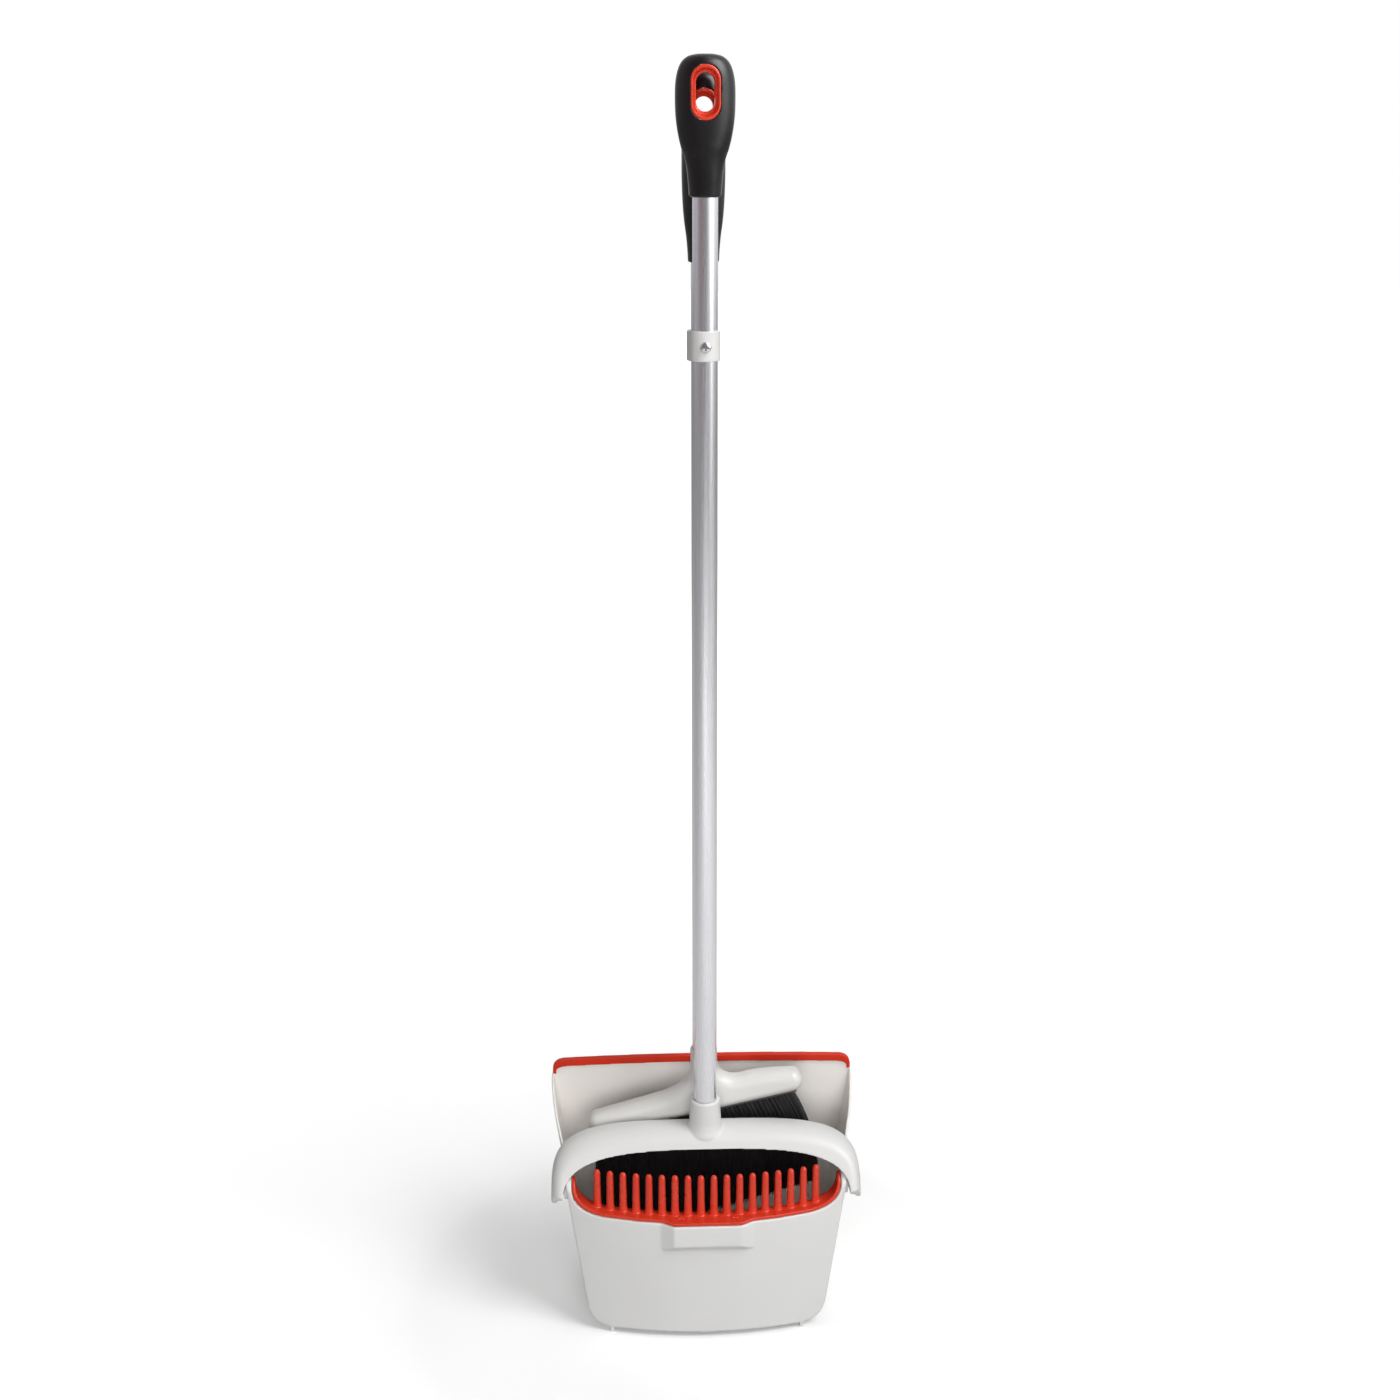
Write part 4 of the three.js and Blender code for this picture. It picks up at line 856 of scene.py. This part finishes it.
def head_outline():
    """The head from the front: two arms on a sloping axis, filleted into the upright neck."""
    left_x, left_z, left_radius, left_shoulder = HEAD_LEFT
    right_x, right_z, right_radius, right_shoulder = HEAD_RIGHT
    neck, neck_top, _ = NECK
    reach, rise = HEAD_FILLET
    up = HEAD_TILT + math.pi / 2

    def above(x):
        return head_axis_z(x) + (left_shoulder if x < 0 else right_shoulder)

    foot = neck + reach
    outline = arc((right_x, right_z), right_radius, HEAD_TILT - math.pi / 2, up, 24)
    shoulder = outline[-1]
    middle_x = (shoulder[0] + foot) / 2
    outline += bezier(shoulder, (middle_x, above(middle_x) - HEAD_SAG), (foot, above(foot)), count=10)
    outline += bezier((foot, above(foot)), (neck + reach * 0.4, above(neck)),
                      (neck, above(neck) + rise * 0.3), (neck, above(neck) + rise), count=24)
    outline += [(neck, neck_top), (-neck, neck_top)]
    outline += bezier((-neck, above(-neck) + rise), (-neck, above(-neck) + rise * 0.3),
                      (-neck - reach * 0.4, above(-neck)), (-foot, above(-foot)), count=24)
    outline += [(left_x + left_radius * math.cos(up), left_z + left_radius * math.sin(up))]
    outline += arc((left_x, left_z), left_radius, up, HEAD_TILT + 3 * math.pi / 2, 24)
    return without_repeats(outline)


def tilted_bar(left, right, low, high, y_min, y_max):
    """A bar along the head's underside, from low to high over it."""
    left_z = head_bottom_z(left)
    right_z = head_bottom_z(right)
    outline = [(left, left_z + low), (right, right_z + low), (right, right_z + high), (left, left_z + high)]
    return prism(outline, "y", y_min, y_max)


def make_broom_head():
    """The neck and both arms, with the room for the tufts' block underneath."""
    head = pillow(head_outline(), TUBE_GAP, HEAD_CORE, HEAD_HALF_DEPTH - HEAD_CORE,
                  HEAD_LEFT[2] - HEAD_CORE, "broom_head_moulding")
    neck, neck_top, floor = NECK
    keep(head, prism(rectangle(-FAR, 0, FAR, neck_top - NECK_LAP), "y", -FAR, FAR))
    bevel, low, high = NECK_ROOT
    join(head, turned([(neck - bevel, floor - low), (neck, floor - high), (neck, neck_top - NECK_EDGE),
                       (neck - NECK_EDGE, neck_top)], centre=(0, TUBE_GAP)))
    soften(head, voxel=0.75, rounds=9)
    left, right, thickness, width = BLOCK
    cut(head, turned([(TUBE_BORE, floor), (TUBE_BORE, FAR)], centre=(0, TUBE_GAP)),
        tilted_bar(left - CLEARANCE, right + CLEARANCE, -BLOCK_ROOM, thickness + CLEARANCE,
                   TUBE_GAP - width / 2 - CLEARANCE, TUBE_GAP + width / 2 + CLEARANCE),
        prism(disc(0, NECK_SCREW_Z, SCREW_HOLE), "y", TUBE_GAP, FAR))
    smooth_by_angle(head, 40)
    dress(head, "broom", cream, "white_plastic", "broom_head")


def add_strand(points, faces, path):
    """A three-sided filament along a path, thinner at its tip."""
    start = len(points)
    rows = len(path)
    for row, (x, y, z) in enumerate(path):
        size = STRAND_RADIUS * (1 - STRAND_TAPER * row / (rows - 1))
        for k in range(3):
            angle = 2 * math.pi * k / 3
            points.append((x + size * math.cos(angle), y + size * math.sin(angle), z))
    for row in range(rows - 1):
        for k in range(3):
            a = start + row * 3 + k
            b = start + row * 3 + (k + 1) % 3
            faces.append((a, b, b + 3, a + 3))
    faces.append((start + 2, start + 1, start))
    last = start + (rows - 1) * 3
    faces.append((last, last + 1, last + 2))


def fanned(start, end, along, share):
    """How far across a strand has come on its way down: the tufts spread below the head, then hang."""
    power = FAN[0] + (FAN[1] - FAN[0]) * share
    return start + (end - start) * (1 - (1 - min(along, 1.0)) ** power)


def trim_z(x):
    """Height of the slanting trimmed edge."""
    return TIP_LEFT[1] + (TIP_RIGHT[1] - TIP_LEFT[1]) * ((x - TIP_LEFT[0]) / (TIP_RIGHT[0] - TIP_LEFT[0]))


def spaced(start, end, margin, share):
    """A place from start to end, each drawn in by the margin."""
    return start + margin + (end - start - 2 * margin) * share


def add_tufts(points, faces, row, offset):
    """Each tuft leaves its hole as a bundle and fans towards the trimmed edge."""
    chance = random.Random(20 + row)
    left = BLOCK[0] + TUFT_MARGIN
    right = BLOCK[1] - TUFT_MARGIN
    for tuft in range(TUFTS):
        share = (tuft + 0.5) / TUFTS
        root_x = left + (right - left) * share
        tip_x = spaced(TIP_LEFT[0], TIP_RIGHT[0], TIP_RADIUS, share)
        tuft_sway = chance.uniform(-1.0, 1.0)
        tuft_length = chance.uniform(-0.012, 0.01)
        for _ in range(FILAMENTS):
            angle = chance.uniform(0, 2 * math.pi)
            spread = math.sqrt(chance.random())
            x0 = root_x + TUFT_RADIUS * spread * math.cos(angle)
            y0 = (ROW_HALF - 0.35) * spread * math.sin(angle)
            x1 = tip_x + TIP_RADIUS * spread * math.cos(angle) + tuft_sway + chance.gauss(0, 0.5)
            y1 = (ROW_HALF - 0.25) * spread * math.sin(angle)
            tip_z = trim_z(x1)
            root_z = head_bottom_z(x0) + TUFT_LAP
            length = 0.985 + tuft_length - abs(chance.gauss(0, 0.012))
            curl = chance.gauss(0, 0.35)
            path = []
            for step in range(STRAND_STEPS + 1):
                t = (step / STRAND_STEPS) ** STEP_BUNCHING
                along = t * length
                x = fanned(x0, x1, along, share) + curl * math.sin(math.pi * t)
                y = (TUBE_GAP + offset * (1 + (ROW_SPREAD - 1) * along)
                     + y0 * (1 - along) + y1 * 1.6 * along)
                path.append((x, y, root_z + (tip_z - root_z) * along))
            add_strand(points, faces, path)


def add_core(points, faces, row, offset):
    """A wavy slab inside the row, so that no light shows between its filaments."""
    left = BLOCK[0] + TUFT_MARGIN
    right = BLOCK[1] - TUFT_MARGIN
    start = len(points)
    for face in (-1, 1):
        for column in range(CORE_COLUMNS + 1):
            share = column / CORE_COLUMNS
            root_x = left + (right - left) * share
            root_z = head_bottom_z(root_x) + 1
            tip_x = spaced(TIP_LEFT[0], TIP_RIGHT[0], CORE_MARGIN, share)
            tip_z = trim_z(tip_x)
            wave = 0.35 * math.sin(2 * math.pi * share * TUFTS) + 0.18 * math.sin(share * 977 + row)
            for level in range(CORE_LEVELS + 1):
                t = (level / CORE_LEVELS) ** STEP_BUNCHING * CORE_LENGTH
                half = (1.0 + 0.75 * t + wave * 0.6) * (1 if 0 < column < CORE_COLUMNS else 0.2)
                y = TUBE_GAP + offset * (1 + (ROW_SPREAD - 1) * t) + face * half
                points.append((fanned(root_x, tip_x, t, share), y, root_z + (tip_z - root_z) * t))

    def at(face, column, level):
        return start + (face * (CORE_COLUMNS + 1) + column) * (CORE_LEVELS + 1) + level

    for column in range(CORE_COLUMNS):
        for level in range(CORE_LEVELS):
            corners = rectangle(column, level, column + 1, level + 1)
            faces.append([at(0, *corner) for corner in corners])
            faces.append([at(1, *corner) for corner in reversed(corners)])
        for level in (0, CORE_LEVELS):
            faces.append([at(0, column, level), at(1, column, level),
                          at(1, column + 1, level), at(0, column + 1, level)])
    for column in (0, CORE_COLUMNS):
        for level in range(CORE_LEVELS):
            faces.append([at(0, column, level), at(0, column, level + 1),
                          at(1, column, level + 1), at(1, column, level)])


def make_bristles(row):
    """One row of tufts over a core."""
    offset = (row - (ROWS - 1) / 2) * ROW_PITCH
    points = []
    faces = []
    add_tufts(points, faces, row, offset)
    add_core(points, faces, row, offset)
    bristles = add_object(f"filament_tufts_{row + 1}", points, faces)
    smooth_by_angle(bristles, 80)
    dress(bristles, "broom", strand, "bristle", f"bristle_row_{row + 1}")


# ---------------------------------------------------------------- pieces

make_pan()
make_lip()
make_comb()
make_stakes()
make_yoke()
make_tube("pan_tube_drawn", "pan_tube", "handle", 0.0)
make_tube("broom_tube_drawn", "broom_tube", "broom", TUBE_GAP)
make_clip()
make_clip_screw()
make_grip(PAN_GRIP, 0.0, PAN_GRIP_BORE, PAN_HOLE, ("pan_grip_rubber", "pan_grip_loop"),
          ("pan_grip", "pan_grip_ring"), "handle")
make_grip(BROOM_GRIP, TUBE_GAP, BROOM_GRIP_BORE, BROOM_HOLE, ("broom_grip_rubber", "broom_grip_loop"),
          ("broom_grip", "broom_grip_ring"), "broom")
make_broom_head()
for row_index in range(ROWS):
    make_bristles(row_index)

# CAD nodes whose own shape shows, by what they are made of
KEPT = [
    (white, ["pivot_bush_left", "pivot_bush_right", "pivot_pin_left", "pivot_pin_right"]),
    (dark_plug, ["pan_tube_foot_plug", "pan_tube_top_plug", "broom_tube_foot_plug", "broom_tube_top_plug",
                 "bristle_block"]),
    (bright, ["socket_screw", "clip_insert", "neck_screw"]),
]
for look, names in KEPT:
    for node_name in names:
        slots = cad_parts[node_name].data.materials
        slots.clear()
        slots.append(look)

# ---------------------------------------------------------------- studio

WHITE = (1.0, 1.0, 1.0, 1.0)
AMBIENT = 0.24
FLOOR_TONE = 0.9                        # the floor as shiny surfaces mirror it
FLOOR_BOUNCE = 0.3                      # and as it lights the object from below
MIRROR_LIGHT = 1.6
FLOOR_HALF = 9.0

# the floor's own light as the camera sees it, worked out from the distance to the object:
# least near it, more further out
FLOOR_GLOW = [("SUBTRACT", 0.25), ("MAXIMUM", 0.0), ("POWER", 0.5), ("MULTIPLY", 0.34), ("ADD", 0.16)]

# what shiny surfaces mirror, by the angle round the object from its front, to the right
MIRRORED = [
    (-180, (0.53, 0.53, 0.54)), (-120, (0.38, 0.37, 0.39)), (-80, (0.34, 0.33, 0.35)),
    (-44, (0.17, 0.09, 0.11)), (-10, (0.15, 0.14, 0.15)), (12, (0.20, 0.19, 0.20)), (36, (0.8, 0.8, 0.8)),
    (50, (2.2, 2.2, 2.2)), (66, (2.2, 2.2, 2.2)), (84, (0.8, 0.8, 0.8)), (180, (0.53, 0.53, 0.54)),
]

LIT = (0, 0, 0.3)                       # where the lamps point
# name, place, size, watts, and whether shiny surfaces mirror it
LAMPS = [
    ("key", (1.3, -1.0, 2.2), (1.2, 1.5), 37, True),
    ("front_fill", (0.0, -2.3, 0.8), (1.4, 1.2), 26, False),
    ("back_fill", (0.0, 2.2, 1.5), (1.4, 1.2), 11, False),
]

CAMERA_DISTANCE = 1.509
CAMERA_HEIGHT = 1.006
CAMERA_PITCH = 17                       # degrees down
CAMERA_TURN = -2.5                      # degrees round the set, to the left
CAMERA_LENS = 51.43
CAMERA_SHIFT = -0.0037


def calculated(tree, operation, *values):
    """A math node's output; each value is a number or another node's output."""
    node = tree.nodes.new("ShaderNodeMath")
    node.operation = operation
    for value, socket in zip(values, node.inputs):
        if isinstance(value, (int, float)):
            socket.default_value = value
        else:
            tree.links.new(value, socket)
    return node.outputs[0]


def studio_floor():
    """A white floor that keeps the object's soft shadow and turns pure white away from it."""
    mesh = bpy.data.meshes.new("floor")
    mesh.from_pydata([(x, y, 0) for x, y in rectangle(-FLOOR_HALF, -FLOOR_HALF, FLOOR_HALF, FLOOR_HALF)],
                     [], [(0, 1, 2, 3)])
    floor = bpy.data.objects.new("floor", mesh)
    bpy.context.collection.objects.link(floor)
    material = bpy.data.materials.new("white_floor")
    material.use_nodes = True
    tree = material.node_tree
    shader = tree.nodes["Principled BSDF"]
    shader.inputs["Roughness"].default_value = 0.85
    shader.inputs["Specular IOR Level"].default_value = 0.1
    rays = tree.nodes.new("ShaderNodeLightPath").outputs

    tone = FLOOR_TONE
    for kind, own_tone in (("Is Diffuse Ray", FLOOR_BOUNCE), ("Is Camera Ray", 1)):
        tone = calculated(tree, "MULTIPLY_ADD", rays[kind], own_tone - FLOOR_TONE, tone)
    tree.links.new(tone, shader.inputs["Base Color"])

    place = tree.nodes.new("ShaderNodeTexCoord")
    reach = tree.nodes.new("ShaderNodeVectorMath")
    reach.operation = "LENGTH"
    tree.links.new(place.outputs["Object"], reach.inputs[0])
    glow = reach.outputs["Value"]
    for operation, amount in FLOOR_GLOW:
        glow = calculated(tree, operation, glow, amount)
    glow = calculated(tree, "MULTIPLY", glow, rays["Is Camera Ray"])
    shader.inputs["Emission Color"].default_value = WHITE
    tree.links.new(glow, shader.inputs["Emission Strength"])
    mesh.materials.append(material)


def background(tree, strength):
    """A plain white light from all round."""
    node = tree.nodes.new("ShaderNodeBackground")
    node.inputs["Color"].default_value = WHITE
    node.inputs["Strength"].default_value = strength
    return node


def mixed(tree, factor, first, second):
    """A mix shader's output, from first at factor 0 to second at factor 1."""
    node = tree.nodes.new("ShaderNodeMixShader")
    for output, socket in zip((factor, first, second), node.inputs):
        tree.links.new(output, socket)
    return node.outputs[0]


def studio_world():
    """White behind the object, a plain even light, and a bright right and dark left front to mirror."""
    world = bpy.data.worlds.new("studio")
    bpy.context.scene.world = world
    world.use_nodes = True
    tree = world.node_tree
    tree.nodes.clear()
    output = tree.nodes.new("ShaderNodeOutputWorld")
    ambient = background(tree, AMBIENT)
    seen = background(tree, 1.0)
    mirrored = background(tree, MIRROR_LIGHT)

    where = tree.nodes.new("ShaderNodeTexCoord")
    split = tree.nodes.new("ShaderNodeSeparateXYZ")
    tree.links.new(where.outputs["Generated"], split.inputs[0])
    towards_front = calculated(tree, "MULTIPLY", split.outputs["Y"], -1.0)
    turn = calculated(tree, "ARCTAN2", split.outputs["X"], towards_front)
    share = tree.nodes.new("ShaderNodeMapRange")
    share.inputs["From Min"].default_value = -math.pi
    share.inputs["From Max"].default_value = math.pi
    tree.links.new(turn, share.inputs["Value"])
    ramp = tree.nodes.new("ShaderNodeValToRGB")
    stops = ramp.color_ramp.elements
    while len(stops) < len(MIRRORED):
        stops.new(0.5)
    for stop, (degrees, tone) in zip(stops, MIRRORED):
        stop.position = (degrees + 180) / 360
        stop.color = (*tone, 1)
    tree.links.new(share.outputs["Result"], ramp.inputs["Fac"])
    tree.links.new(ramp.outputs["Color"], mirrored.inputs["Color"])

    rays = tree.nodes.new("ShaderNodeLightPath").outputs
    light = mixed(tree, rays["Is Glossy Ray"], ambient.outputs[0], mirrored.outputs[0])
    direct = calculated(tree, "MAXIMUM", rays["Is Camera Ray"], rays["Is Transmission Ray"])
    tree.links.new(mixed(tree, direct, light, seen.outputs[0]), output.inputs["Surface"])


def soft_box(name, location, size, power, mirrors):
    """A rectangular lamp turned to the object; mirrors says whether shiny surfaces show it."""
    lamp = bpy.data.lights.new(name, "AREA")
    lamp.shape = "RECTANGLE"
    lamp.size, lamp.size_y = size
    lamp.energy = power
    box = bpy.data.objects.new(name, lamp)
    box.location = location
    box.rotation_euler = (Vector(LIT) - Vector(location)).to_track_quat("-Z", "Y").to_euler()
    bpy.context.collection.objects.link(box)
    if not mirrors:
        box.visible_glossy = False


def studio_camera():
    """Eye level with the grips, a step and a half away, looking down at the pan."""
    pitch = math.radians(CAMERA_PITCH)
    turn = math.radians(CAMERA_TURN)
    camera = bpy.data.cameras.new("camera")
    camera.sensor_width = 36
    camera.lens = CAMERA_LENS
    camera.shift_x = CAMERA_SHIFT
    holder = bpy.data.objects.new("camera", camera)
    holder.location = (CAMERA_DISTANCE * math.sin(turn), TUBE_Y * MM - CAMERA_DISTANCE * math.cos(turn),
                       CAMERA_HEIGHT)
    ahead = Vector((-math.sin(turn) * math.cos(pitch), math.cos(turn) * math.cos(pitch), -math.sin(pitch)))
    holder.rotation_euler = ahead.to_track_quat("-Z", "Y").to_euler()
    bpy.context.collection.objects.link(holder)
    bpy.context.scene.camera = holder


studio_floor()
studio_world()
for lamp_values in LAMPS:
    soft_box(*lamp_values)
studio_camera()
bpy.context.scene.view_settings.view_transform = "Standard"
